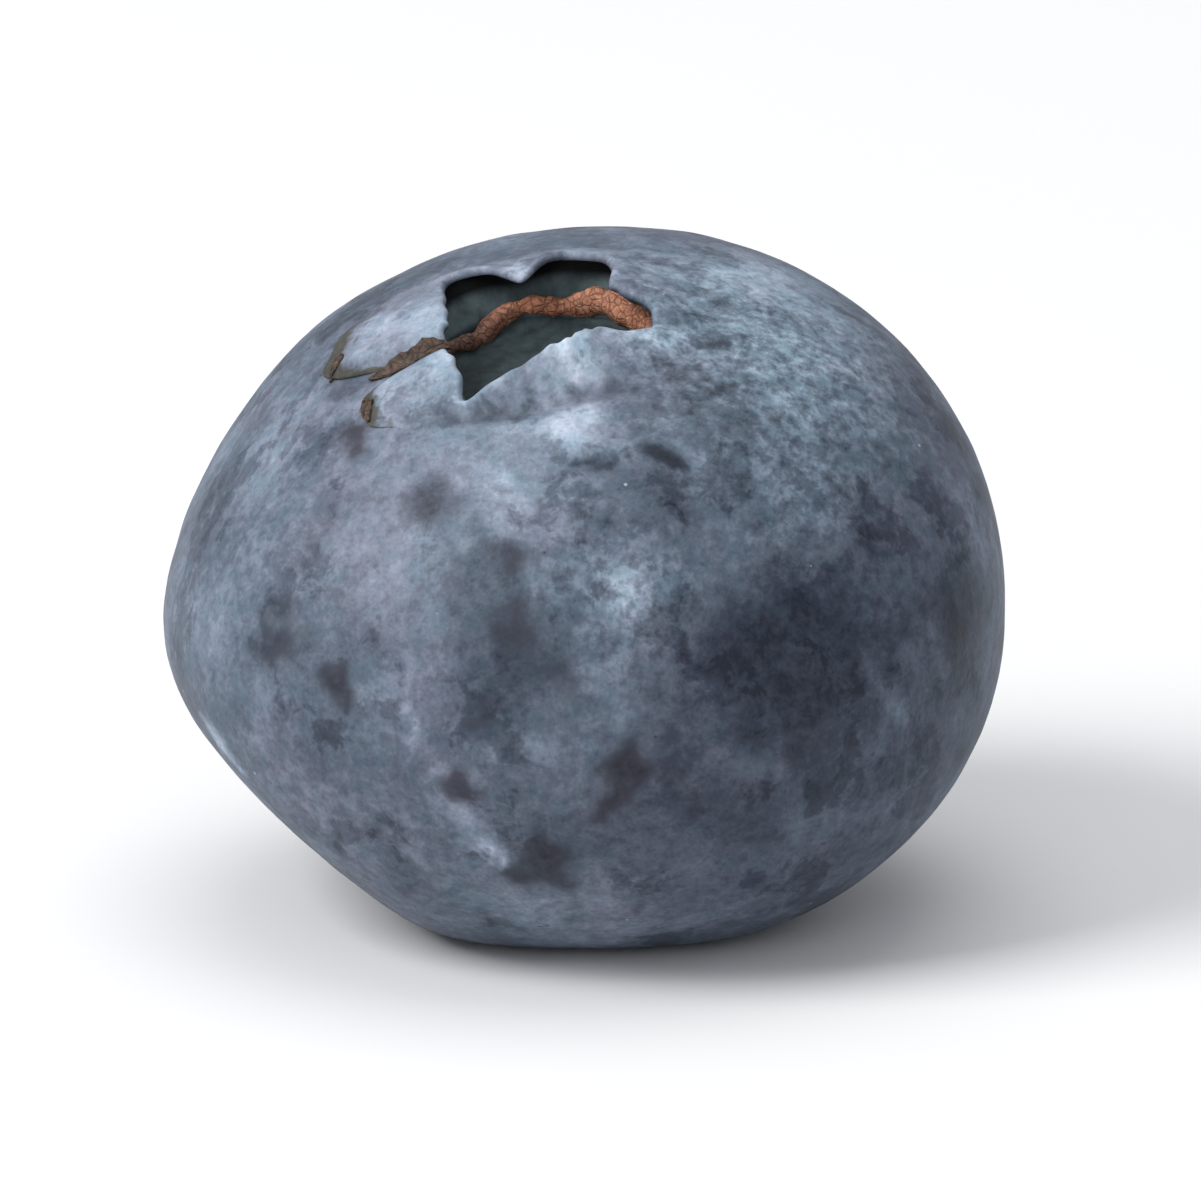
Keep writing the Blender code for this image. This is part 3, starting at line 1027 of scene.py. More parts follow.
@dataclass(frozen=True)
class Calyx:
    """The crown: a crater with an undercut wall, a lip round it and lobes spread out from the lip.

    The lobe towards the camera stands up and leans in over the crater, with a groove at
    its foot. The narrow one at the back dips into it. The others lie on the shoulder.
    """

    places: tuple[CrownPlace, ...] = (
        CrownPlace(8.0, 0.00224, 0.00000, 0.00330, 0.00020, 0.00004),
        CrownPlace(28.0, 0.00184, 0.00004, 0.00330, 0.00026, 0.00005),
        CrownPlace(44.0, 0.00196, 0.00002, 0.00325, 0.00022, 0.00004),
        CrownPlace(57.0, 0.00256, 0.00000, 0.00330, 0.00020, 0.00004),
        CrownPlace(75.0, 0.00268, 0.00000, 0.00335, 0.00022, 0.00004),
        CrownPlace(90.0, 0.00234, 0.00000, 0.00325, 0.00024, 0.00004),
        CrownPlace(101.0, 0.00192, -0.00006, 0.00320, 0.00024, 0.00004),
        CrownPlace(112.0, 0.00254, 0.00000, 0.00330, 0.00022, 0.00004),
        CrownPlace(127.0, 0.00298, 0.00000, 0.00365, 0.00020, 0.00004),
        CrownPlace(141.0, 0.00248, 0.00002, 0.00400, 0.00026, 0.00010),
        CrownPlace(160.0, 0.00200, 0.00003, 0.00445, 0.00030, 0.00016),
        CrownPlace(176.0, 0.00194, 0.00003, 0.00405, 0.00026, 0.00014),
        CrownPlace(184.5, 0.00200, 0.00000, 0.00290, 0.00005, 0.00002),
        CrownPlace(193.0, 0.00196, 0.00002, 0.00360, 0.00024, 0.00009),
        CrownPlace(208.0, 0.00198, 0.00005, 0.00366, 0.00030, 0.00008),
        CrownPlace(220.0, 0.00212, 0.00003, 0.00322, 0.00022, 0.00004),
        CrownPlace(228.0, 0.00236, 0.00000, 0.00282, 0.00008, 0.00003, 0.00004),
        CrownPlace(240.0, 0.00200, 0.00004, 0.00248, 0.00020, 0.00002, 0.00010),
        CrownPlace(262.0, 0.00156, 0.00021, 0.00222, 0.00027, 0.00002, 0.00014),
        CrownPlace(290.0, 0.00134, 0.00032, 0.00216, 0.00028, 0.00002, 0.00015),
        CrownPlace(316.0, 0.00124, 0.00026, 0.00236, 0.00026, 0.00002, 0.00010),
        CrownPlace(336.0, 0.00146, 0.00012, 0.00266, 0.00020, 0.00002, 0.00005),
        CrownPlace(350.0, 0.00208, 0.00000, 0.00300, 0.00014, 0.00003, 0.00002),
    )
    crater_floor: float = 0.00500
    floor_tilt: float = 0.00008
    floor_pucker: Ripple = Ripple(8, 34, 17, 0.000016)
    disc_dome: float = 0.00006
    ring_radius: float = 0.00216
    ring_thickness: float = 0.00015
    ring_waves: int = 7
    ring_wave_height: float = 0.00005
    wall_radius: float = 0.00252
    undercut_level: float = 0.00035
    wall_pucker: Ripple = Ripple(22, 70, 41, 0.000012)
    pockets: tuple[Hump, ...] = (Hump(126.0, 22.0, 0.00046), Hump(74.0, 24.0, 0.00050))
    roof: float = 0.0002
    lip_radius: float = 0.00215
    lip_overhang: float = 0.00012
    lip_ripple: Ripple = Ripple(5, 30, 11, 0.000045)
    narrowest_lobe: float = 0.0003
    lobe_relief: float = 0.00020
    lobe_ripple: Ripple = Ripple(5, 26, 5, 0.16)
    creases: Ripple = Ripple(16, 54, 31, 0.000014)
    edge_radius: float = 0.00290
    edge_undercut: float = 0.00008
    edge_ripple: Ripple = Ripple(5, 34, 23, 0.00009)
    edge_profile: Outline = field(default_factory=lambda: [
        (-0.06, 0.97), (0.05, 0.86), (0.10, 0.66), (0.08, 0.44), (-0.05, 0.30), (-0.40, 0.22), (-1.0, 0.18)
    ])
    groove_width: float = 0.00026
    outer_radius: float = 0.00520
    rim_width: float = 0.30
    dry_width: float = 0.16
    dry_tips: tuple[Hump, ...] = (Hump(168.0, 20.0, 1.1), Hump(198.0, 11.0), Hump(280.0, 34.0, 0.2))
    dry_ripple: Ripple = Ripple(3, 24, 51, 0.3)
    dry_notch: Hump = Hump(185.0, 3.5)
    # The band of painted shade along the lobes' foot, where they meet the skin, at the front.
    foot_shade_width: float = 0.00030
    foot: tuple[Hump, ...] = (Hump(246.0, 24.0), Hump(296.0, 22.0, 0.8))
    # Angles where bright highlights are painted on the lobes, as thicker pale bloom.
    frosted: tuple[Hump, ...] = (
        Hump(101.0, 9.0),
        Hump(292.0, 20.0, 1.7),
        Hump(342.0, 12.0),
        Hump(162.0, 16.0, 0.7),
        Hump(205.0, 14.0, 0.6),
    )

    def crater_outline(self) -> Outline:
        """The crater from its centre outwards: low disc and the ring's bed.

        Returns:
            Pairs of radius and level.
        """
        base = self.crater_floor
        inner = self.ring_radius - self.ring_thickness * 2.2
        shares = [step / 12 for step in range(13)]
        outline = [(inner * share, base + self.disc_dome * (1.0 - share ** 4)) for share in shares]
        outline += Shape.arc((self.ring_radius, base), self.ring_thickness, 172, 12, 10)
        outline.append((self.wall_radius - self.ring_thickness * 0.7, base - self.ring_thickness * 0.3))
        return outline

    def wall_outline(self) -> Outline:
        """The undercut wall, up to the underside of the lip.

        Returns:
            Pairs of radius and level.
        """
        undercut = self.undercut_level
        centre = (self.wall_radius - undercut, self.crater_floor + undercut)
        outline = Shape.arc(centre, undercut, -38, 38, 10)
        top = (self.lip_radius - self.lip_overhang * 0.8, self.lip_level() - self.lip_overhang * 1.7)
        return outline + Shape.line(outline[-1], top, 12)

    def lobe_outline(self) -> Outline:
        """The lip and the lobes' upper side with their free edge.

        Returns:
            Pairs of radius and level.
        """
        lip_centre = (self.lip_radius, self.lip_level() - self.lip_overhang)
        outline = Shape.arc(lip_centre, self.lip_overhang, 180, 90, 8)
        width = self.edge_radius - self.lip_radius
        rows = [(self.lip_radius + width * step / 19, 1.0) for step in range(1, 19)]
        rows += [(self.edge_radius + self.edge_undercut * out, share) for out, share in self.edge_profile]
        for radius, share in rows:
            outline.append((radius, Fruit.shoulder_level(radius) + self.lobe_relief * share))
        return outline

    def skin_outline(self) -> Outline:
        """The skin from under the lobes' edge out to the shoulder.

        Returns:
            Pairs of radius and level.
        """
        start = self.edge_radius - self.edge_undercut * 1.05
        radii = [start + (self.outer_radius - start) * (step / 21) ** 1.5 for step in range(22)]
        return [(radius, Fruit.shoulder_level(radius)) for radius in radii]

    def lip_level(self) -> float:
        """The height of the lip before the lobes are spread."""
        return Fruit.shoulder_level(self.lip_radius) + self.lobe_relief

    def at(self, turn: np.ndarray, size: str) -> np.ndarray:
        """One of CrownPlace's sizes, by name, at angles in radians."""
        angles = [place.angle for place in self.places]
        return Shape.loop(turn, angles, [getattr(place, size) for place in self.places])

    def lip_at(self, turn: np.ndarray) -> np.ndarray:
        """The lip's ragged radius at angles in radians."""
        return self.at(turn, "lip") + self.lip_ripple.at(turn)

    def reach_at(self, turn: np.ndarray) -> np.ndarray:
        """The lobes' ragged outer radius.

        Args:
            turn: Angles in radians.

        Returns:
            The radius at each angle.
        """
        loose = Shape.rise(self.at(turn, "edge_relief"), 0.0, 0.00008)
        reach = self.at(turn, "reach") + self.edge_ripple.at(turn) * (0.3 + 0.7 * loose)
        return np.maximum(reach, self.lip_at(turn) + self.narrowest_lobe)

    def surface(self, radius: np.ndarray, turn: np.ndarray) -> np.ndarray:
        """The level of the lobes' upper side.

        Args:
            radius: Radii from the lip out to the lobes' edge.
            turn: Angles in radians.

        Returns:
            The level at each point.
        """
        lip, reach = self.lip_at(turn), self.reach_at(turn)
        inner = np.clip((radius - lip) / (reach - lip), 0.0, 1.0)
        lip_relief, edge_relief = self.at(turn, "lip_relief"), self.at(turn, "edge_relief")
        relief = lip_relief + (edge_relief - lip_relief) * Shape.rise(inner, 0.0, 1.0)
        hold = Shape.rise(edge_relief, 0.00003, 0.00010)
        relief = np.maximum(relief * (1.0 - (1.0 - 0.65 * hold) * inner ** 9), 0.0)
        rise = self.at(turn, "rise") * (1.0 - inner) ** 1.3
        creases = self.creases.at(turn) * np.sqrt(inner) * hold
        return Fruit.shoulder_level(radius) + relief * (1.0 + self.lobe_ripple.at(turn)) + rise + creases

    def spread(self, radius: np.ndarray, level: np.ndarray, turn: np.ndarray,
               on_lobe: np.ndarray) -> tuple[np.ndarray, np.ndarray]:
        """Spreads the spun rim into lobes and notches: points on or outside the lip.

        Args:
            radius: The points' radii.
            level: Their levels.
            turn: Their angles in radians.
            on_lobe: Whether each point is on a lobe, and not on the skin.

        Returns:
            The new radii and levels.
        """
        lip, reach = self.lip_at(turn), self.reach_at(turn)
        inner = (radius - self.lip_radius) / (self.edge_radius - self.lip_radius)
        outer = (radius - self.edge_radius) / (self.outer_radius - self.edge_radius)
        beyond = reach + (self.outer_radius - reach) * outer
        spread = np.where(inner < 1.0, lip + (reach - lip) * inner, beyond)
        spread = np.where(inner < 0.0, lip + radius - self.lip_radius, spread)
        share = (level - Fruit.shoulder_level(radius)) / self.lobe_relief
        free = 0.12 + 0.88 * Shape.rise(self.at(turn, "edge_relief"), 0.00004, 0.00012)
        close = (np.abs(radius - self.edge_radius) < self.edge_undercut * 1.1) & (share < 0.995)
        spread = np.where(close, reach + (radius - self.edge_radius) * free, spread)
        skin = Fruit.shoulder_level(spread)
        on_edge = (inner > 0.9) | (share > 0.995)
        raised = self.surface(np.maximum(spread, lip), turn)
        lobe_level = np.where(on_edge, skin + (raised - skin) * share, raised + level - self.lip_level())
        groove = self.at(turn, "groove") * Shape.ridge(spread, reach, self.groove_width)
        return spread, np.where(on_lobe, lobe_level, skin) - groove

    def wall(self, radius: np.ndarray, level: np.ndarray, turn: np.ndarray) -> tuple[np.ndarray, np.ndarray]:
        """Moves the crater's wall with the lip above it and hollows its pockets.

        Args:
            radius: The points' radii.
            level: Their levels.
            turn: Their angles in radians.

        Returns:
            The new radii and levels.
        """
        bottom = self.crater_floor + self.undercut_level * 0.4
        top = self.lip_level()
        share = np.clip((level - bottom) / (top - bottom), 0.0, 1.0)
        ones = np.ones_like(turn)
        lip_radius, lip_level = self.spread(self.lip_radius * ones, top * ones, turn, ones > 0.0)
        hollow = Shape.total(turn, self.pockets) * np.sin(math.pi * self.height(level) ** 2) ** 1.5
        moved = radius + (lip_radius - self.lip_radius) * share ** 1.6 + hollow
        moved = moved + self.wall_pucker.at(turn) * share
        foot = radius.max()
        outmost = foot + (self.reach_at(turn) - self.roof - foot) * Shape.rise(share, 0.0, 0.35)
        moved = np.minimum(moved, outmost)
        return moved, level + (lip_level - top) * share ** 3 + self.floor_drop(radius, turn) * (1.0 - share)

    def height(self, level: np.ndarray) -> np.ndarray:
        """Where levels as spun are between the crater's floor and the lip, from 0 to 1."""
        return np.clip((level - self.crater_floor) / (self.lip_level() - self.crater_floor), 0.0, 1.0)

    def floor(self, radius: np.ndarray, level: np.ndarray, turn: np.ndarray) -> tuple[np.ndarray, np.ndarray]:
        """Waves the ring's bed and tilts the crater's floor.

        Args:
            radius: The points' radii.
            level: Their levels.
            turn: Their angles in radians.

        Returns:
            The radii and the new levels.
        """
        bed = Shape.ridge(radius, self.ring_radius, self.ring_thickness * 2.0)
        waved = level + bed * self.ring_wave_height * np.cos(self.ring_waves * turn)
        pucker = self.floor_pucker.at(turn) * Shape.rise(radius, 0.0004, 0.0014)
        return radius, waved + pucker + self.floor_drop(radius, turn)

    def floor_drop(self, radius: np.ndarray, turn: np.ndarray) -> np.ndarray:
        """The floor's change of level, down away from the camera and up towards it."""
        return -self.floor_tilt * np.sin(turn) * radius / self.wall_radius


@dataclass(frozen=True)
class Press:
    """A side that the fruit was pressed on: its direction, how far it is pushed in, and how softly."""

    direction: Place
    depth: float
    softness: float


@dataclass
class Posture:
    """How the berry lies: its lean, its pressed sides and where it settles in the solid's box."""

    crown_direction: Place = (-0.125, -0.330, 0.936)
    presses: tuple[Press, ...] = (
        Press((-0.66, -0.12, -0.74), 0.00122, 0.0007),
        Press((-0.82, -0.05, 0.57), 0.00030, 0.0009),
        Press((0.15, 0.90, -0.40), 0.00055, 0.0009),
        Press((0.30, -0.92, 0.25), 0.00030, 0.0010),
        Press((0.00, -0.60, -0.80), 0.00042, 0.0008),
    )
    firmness: float = 0.75
    limits: list[float] = field(default_factory=list)
    offset: np.ndarray = field(default_factory=lambda: np.zeros(3))

    def lean(self) -> Quaternion:
        """The turn from upright to the berry's own axis."""
        return Vector((0.0, 0.0, 1.0)).rotation_difference(Vector(self.crown_direction))

    def leaned(self, points: np.ndarray) -> np.ndarray:
        """Points turned from upright to the berry's own axis."""
        return points @ np.array(self.lean().to_matrix()).T

    def pressed(self, points: np.ndarray, learn: bool) -> np.ndarray:
        """Pushes in what stands furthest to each pressed side, starting softly.

        Args:
            points: The leaned points.
            learn: Whether these points say where each side is.

        Returns:
            The pushed points.
        """
        for index, press in enumerate(self.presses):
            towards = np.array(Vector(press.direction).normalized())
            if learn:
                self.limits.append(float((points @ towards).max()) - press.depth)
            push = Shape.above(points @ towards - self.limits[index], press.softness)
            points = points - np.outer(push * self.firmness, towards)
        return points

    def settle_body(self, points: np.ndarray) -> np.ndarray:
        """Places the fruit's body, and learns from it where everything else on it goes.

        Args:
            points: The body's points, upright round the origin.

        Returns:
            The points in the shared frame.
        """
        placed = self.pressed(self.leaned(points), learn=True)
        low, high = placed.min(0), placed.max(0)
        box_low, box_high = (np.array(corner) for corner in CAD_BOX)
        self.offset = (box_low + box_high) / 2.0 - (low + high) / 2.0
        self.offset[2] = box_high[2] - high[2]
        return placed + self.offset

    def settle(self, points: np.ndarray) -> np.ndarray:
        """Places points that belong on the body, such as the ring's."""
        return self.pressed(self.leaned(points), learn=False) + self.offset


@dataclass(frozen=True)
class Wave:
    """A low wave of the flank: how many go round, its height as a share of the radius, and its shift."""

    count: int
    height: float
    shift: float


@dataclass
class Fruit:
    """The whole fruit's body, spun, grown and settled."""

    equator_radius: ClassVar[float] = 0.0080
    crown_height: ClassVar[float] = 0.0061
    stem_height: ClassVar[float] = 0.0063
    crown_fullness: ClassVar[float] = 2.15
    stem_fullness: ClassVar[float] = 2.4
    calyx: Calyx
    posture: Posture
    steps_around: int = 288
    flank_top_turn: float = 49.9
    flank_bottom_turn: float = -82.0
    flank_rings: int = 112
    dimple_radius: float = 0.0012
    dimple_depth: float = 0.00030
    scar_radius: float = 0.00075
    scar_depth: float = 0.00020
    waves: tuple[Wave, ...] = (Wave(2, 0.009, 0.6), Wave(3, 0.007, 2.4), Wave(5, 0.006, 1.1))
    rest_softness: float = 0.00036
    rest_blend_level: float = 0.0016
    dent_size: float = 0.0032
    dent_height: float = 0.00013
    pucker_size: float = 0.00085
    pucker_height: float = 0.000030
    weight_steps: int = 10
    batch: int = 4096
    sharp_angle: float = 70.0

    @classmethod
    def shoulder_level(cls, radius: "np.ndarray | float") -> "np.ndarray | float":
        """Height of the crown side's skin at a radius, before the calyx is raised from it."""
        share = (radius / cls.equator_radius) ** cls.crown_fullness
        return cls.crown_height * (1.0 - share) ** (1.0 / cls.crown_fullness)

    def flank_point(self, turn: float) -> tuple[float, float]:
        """A point of the outer skin.

        Args:
            turn: Degrees from the equator, up positive.

        Returns:
            Its radius and level.
        """
        upper = turn > 0.0
        height = self.crown_height if upper else self.stem_height
        power = 2.0 / (self.crown_fullness if upper else self.stem_fullness)
        angle = math.radians(abs(turn))
        level = height * math.sin(angle) ** power
        return self.equator_radius * math.cos(angle) ** power, level if upper else -level

    def stem_end_point(self, radius: float) -> tuple[float, float]:
        """A point of the outer skin by its radius, near the stem end."""
        share = (radius / self.equator_radius) ** self.stem_fullness
        return radius, -self.stem_height * (1.0 - share) ** (1.0 / self.stem_fullness)

    def flank_outline(self) -> Outline:
        """The outer skin from the shoulder to the stem end, with its dimple and scar.

        Returns:
            Pairs of radius and level.
        """
        fall = (self.flank_bottom_turn - self.flank_top_turn) / self.flank_rings
        rings = range(self.flank_rings + 1)
        outline = [self.flank_point(self.flank_top_turn + fall * ring) for ring in rings]
        last = outline[-1][0]
        outline += [self.stem_end_point(last + (self.scar_radius - last) * step / 8) for step in range(1, 9)]
        for share, sunk in ((0.94, 0.45), (0.86, 0.85), (0.75, 1.0), (0.5, 1.0), (0.25, 1.0), (0.0, 1.0)):
            outline.append((self.scar_radius * share, -self.stem_height + self.scar_depth * sunk))
        return [(radius, level + self.dimple(radius, level)) for radius, level in outline]

    def dimple(self, radius: float, level: float) -> float:
        """How far the stem end is drawn in at a radius and level."""
        return 0.0 if level > 0.0 else self.dimple_depth * math.exp(-((radius / self.dimple_radius) ** 2))

    def outlines(self) -> list[tuple[Part, Outline]]:
        """The whole outline, stretch by stretch, from the crown's middle to the stem end."""
        return [
            (Part.FLOOR, self.calyx.crater_outline()),
            (Part.WALL, self.calyx.wall_outline()),
            (Part.LOBE, self.calyx.lobe_outline()),
            (Part.SKIN, self.calyx.skin_outline() + self.flank_outline()),
        ]

    def parts_of(self, spun: np.ndarray) -> np.ndarray:
        """Finds the stretch of the outline that each spun point came from.

        Args:
            spun: The spun points.

        Returns:
            The stretch's number in Part, for each point.
        """
        stations = np.array([point for _, stretch in self.outlines() for point in stretch])
        labels = np.array([part.value for part, stretch in self.outlines() for _ in stretch])
        radius, _, level = Shape.polar(spun)
        found = []
        for start in range(0, len(spun), self.batch):
            rows = slice(start, start + self.batch)
            away = np.abs(radius[rows, None] - stations[:, 0]) + np.abs(level[rows, None] - stations[:, 1])
            found.append(labels[away.argmin(axis=1)])
        return np.concatenate(found)

    def grown(self, points: np.ndarray, parts: np.ndarray) -> np.ndarray:
        """Where the spun points have grown to: calyx spread, crater hollowed and body waved.

        Args:
            points: The spun points.
            parts: The stretch of the outline that each one is on.

        Returns:
            The grown points, still upright round the origin.
        """
        calyx = self.calyx
        radius, turn, level = Shape.polar(points)
        lobe, wall, floor = (parts == part.value for part in (Part.LOBE, Part.WALL, Part.FLOOR))
        rim = lobe | ((parts == Part.SKIN.value) & (radius < calyx.outer_radius) & (level > 0.0))
        for chosen, moved in (
            (rim, calyx.spread(radius[rim], level[rim], turn[rim], lobe[rim])),
            (wall, calyx.wall(radius[wall], level[wall], turn[wall])),
            (floor, calyx.floor(radius[floor], level[floor], turn[floor])),
        ):
            radius[chosen], level[chosen] = moved
        reach = np.minimum(1.0, radius / self.equator_radius)
        for wave in self.waves:
            radius = radius * (1.0 + wave.height * np.cos(wave.count * turn + wave.shift) * reach ** 2)
        return Shape.upright(radius, turn, level)

    def build(self) -> bpy.types.Object:
        """Models the fruit's body.

        Returns:
            The piece.
        """
        outline = [point for _, stretch in self.outlines() for point in stretch]
        body = Bench.spun("fruit_skin", outline, self.steps_around)
        spun = Bench.points(body)
        parts = self.parts_of(spun)
        Bench.move(body, self.posture.settle_body(self.grown(spun, parts)))
        self.keep_marks(body, spun, parts)
        self.dent(body, spun)
        self.rest(body)
        Bench.smooth(body, self.sharp_angle)
        return body

    def keep_marks(self, body: bpy.types.Object, spun: np.ndarray, parts: np.ndarray) -> None:
        """Keeps on the points what the material reads: crater, lobe, dryness, painted highlights and painted
        shade.

        Args:
            body: The piece.
            spun: The points as spun.
            parts: The stretch of the outline that each one is on.
        """
        calyx = self.calyx
        radius, turn, level = Shape.polar(spun)
        lobe, wall, floor = (parts == part.value for part in (Part.LOBE, Part.WALL, Part.FLOOR))
        under_lip = 1.0 - Shape.rise(level - calyx.lip_level(), -0.00022, -0.00003)
        crater = np.where(floor | wall, 1.0, np.where(lobe & (radius < calyx.lip_radius), under_lip, 0.0))
        upper = lobe * (1.0 - crater)
        inner = (radius - calyx.lip_radius) / (calyx.edge_radius - calyx.lip_radius)
        # Painted shade along the lobes' foot, on the lobe and the skin.
        foot = Shape.ridge(radius, calyx.edge_radius, calyx.foot_shade_width) * (level > 0.0)
        # Where the wall's hollows are, for the painted shade under the lip.
        pocket = sum(Hump(hollow.middle, hollow.width).at(turn) for hollow in calyx.pockets)
        tips = Shape.total(turn, calyx.dry_tips)
        tips = tips + np.clip(calyx.dry_ripple.at(turn), 0.0, calyx.dry_ripple.height)
        edge = Shape.ridge(inner, 1.0, calyx.dry_width) * np.clip(tips, 0.0, 1.2)
        Bench.mark(body, {
            "foot": foot * Shape.total(turn, calyx.foot),
            "crater": crater,
            "wall": wall,
            "pocket": pocket * Shape.rise(calyx.height(level), 0.34, 0.56) * wall,
            "rim": Shape.ridge(inner, 0.02, calyx.rim_width) * upper,
            # Painted highlights on the lobes, fading towards their edge.
            "frosted": Shape.total(turn, calyx.frosted) * upper * (1.0 - Shape.rise(inner, 0.65, 1.0)),
            "lobe": upper,
            "dry": np.clip(edge + calyx.dry_notch.at(turn), 0.0, 1.0) * lobe,
        })

    def dent(self, body: bpy.types.Object, spun: np.ndarray) -> None:
        """Gives the flank its shallow dents and fine puckers.

        Args:
            body: The piece.
            spun: The points as spun.
        """
        radius, _, level = Shape.polar(spun)
        flank = np.where(level > 0.0, Shape.rise(radius, 0.0030, 0.0050), Shape.rise(radius, 0.0010, 0.0020))
        group = body.vertex_groups.new(name="flank")
        steps = np.round(flank * self.weight_steps).astype(int)
        for step in range(1, self.weight_steps + 1):
            group.add(np.nonzero(steps == step)[0].tolist(), step / self.weight_steps, "REPLACE")
        Bench.relief(body, self.dent_size, self.dent_height, "flank")
        Bench.relief(body, self.pucker_size, self.pucker_height, "flank")

    def rest(self, body: bpy.types.Object) -> None:
        """Flattens softly what would be under the floor, so that the berry rests on a low bulge.

        Args:
            body: The piece.
        """
        points = Bench.points(body)
        level = points[:, 2]
        soft = Shape.above(level, self.rest_softness)
        share = Shape.rise(level, 0.0, self.rest_blend_level)
        points[:, 2] = (soft - soft.min()) * (1.0 - share) + level * share
        Bench.move(body, points)


@dataclass
class SmallPiece:
    """A piece that lies in or on the fruit and settles with it."""

    fruit: Fruit
    sharp_angle: ClassVar[float] = 50.0
    reliefs: ClassVar[Outline] = []

    def settled(self, piece: bpy.types.Object) -> bpy.types.Object:
        """Roughens a piece that was modelled upright round the origin, places it and shades it.

        Args:
            piece: The piece.

        Returns:
            The same piece.
        """
        for size, height in self.reliefs:
            Bench.relief(piece, size, height)
        Bench.move(piece, self.fruit.posture.settle(Bench.points(piece)))
        Bench.smooth(piece, self.sharp_angle)
        return piece


@dataclass
class CraterRing(SmallPiece):
    """The rust-brown corky ring at the foot of the crater's wall, where the flower was attached."""

    sharp_angle: ClassVar[float] = 60.0
    reliefs: ClassVar[Outline] = [(0.00022, 0.00007), (0.00007, 0.00003)]
    radius: float = 0.00224
    thickness: float = 0.00020
    level: float = 0.00518
    steps_around: int = 300
    steps_across: int = 18
    stout: tuple[Form, ...] = (Hump(46.0, 22.0, 0.50), Hump(160.0, 22.0, -0.25), Ripple(5, 34, 61, 0.20))
    thinnest: float = 0.95
    upright: float = 1.15
    upright_ripple: Ripple = Ripple(6, 40, 67, 0.3)
    out: tuple[Form, ...] = (
        Ripple(4, 22, 71, 0.00006), Hump(16.0, 20.0, -0.00007), Hump(132.0, 22.0, -0.00018)
    )
    lift: tuple[Form, ...] = (
        Ripple(5, 28, 73, 0.00004), Hump(36.0, 24.0, 0.00012), Hump(136.0, 22.0, -0.00008)
    )
    # Brighter copper near 34 degrees, and painted light near 92 degrees, where the back lip shades the ring.
    worn: tuple[Form, ...] = (Hump(34.0, 30.0, 0.92), Hump(92.0, 28.0, 1.05))

    def build(self) -> bpy.types.Object:
        """Models the ring from a torus: uneven, wavy and rough.

        Returns:
            The piece.
        """
        calyx = self.fruit.calyx
        Bench.clear()
        bpy.ops.mesh.primitive_torus_add(
            major_radius=self.radius,
            minor_radius=self.thickness,
            major_segments=self.steps_around,
            minor_segments=self.steps_across,
        )
        ring = Bench.take("crater_ring")
        spun, turn, up = Shape.polar(Bench.points(ring))
        stout = self.thinnest + Shape.total(turn, self.stout)
        height = stout * (self.upright + self.upright_ripple.at(turn))
        radius = self.radius + (spun - self.radius) * stout + Shape.total(turn, self.out)
        level = self.level + up * height + calyx.ring_wave_height * np.cos(calyx.ring_waves * turn)
        level = level + Shape.total(turn, self.lift) + calyx.floor_drop(radius, turn)
        Bench.move(ring, Shape.upright(radius, turn, level))
        Bench.mark(ring, {"worn": Shape.total(turn, self.worn)})
        return self.settled(ring)


@dataclass
class StyleStub(SmallPiece):
    """The dry stub of the style in the middle of the crater."""

    reliefs: ClassVar[Outline] = [(0.00012, 0.00008)]
    radius: float = 0.00019
    height: float = 0.00018
    sides: int = 40
    insets: tuple[tuple[float, float], ...] = ((0.30, 0.10), (0.20, -0.45), (0.25, 0.10))

    def build(self) -> bpy.types.Object:
        """Models the stub from a cylinder: a collar, a neck and a sunken torn end.

        Returns:
            The piece.
        """
        level = self.fruit.calyx.crater_floor + self.fruit.calyx.disc_dome + self.height * 0.3
        Bench.clear()
        bpy.ops.mesh.primitive_cylinder_add(
            vertices=self.sides, radius=self.radius, depth=self.height, location=(0.0, 0.0, level)
        )
        stub = Bench.take("style_stub")
        bpy.ops.object.mode_set(mode="EDIT")
        bpy.ops.mesh.select_all(action="DESELECT")
        bpy.ops.object.mode_set(mode="OBJECT")
        for face in stub.data.polygons:
            face.select = face.normal.z > 0.9
        bpy.ops.object.mode_set(mode="EDIT")
        for inward, up in self.insets:
            bpy.ops.mesh.inset(thickness=self.radius * inward, depth=self.height * up)
        bpy.ops.mesh.select_all(action="SELECT")
        bpy.ops.mesh.subdivide(number_cuts=2)
        bpy.ops.object.mode_set(mode="OBJECT")
        return self.settled(stub)


@dataclass(frozen=True)
class Flake:
    """A dry flake on the calyx: where it lies, how big it is, its turn in degrees and its curl."""

    angle: float
    radius: float
    length: float
    width: float
    turn: float
    curl: float


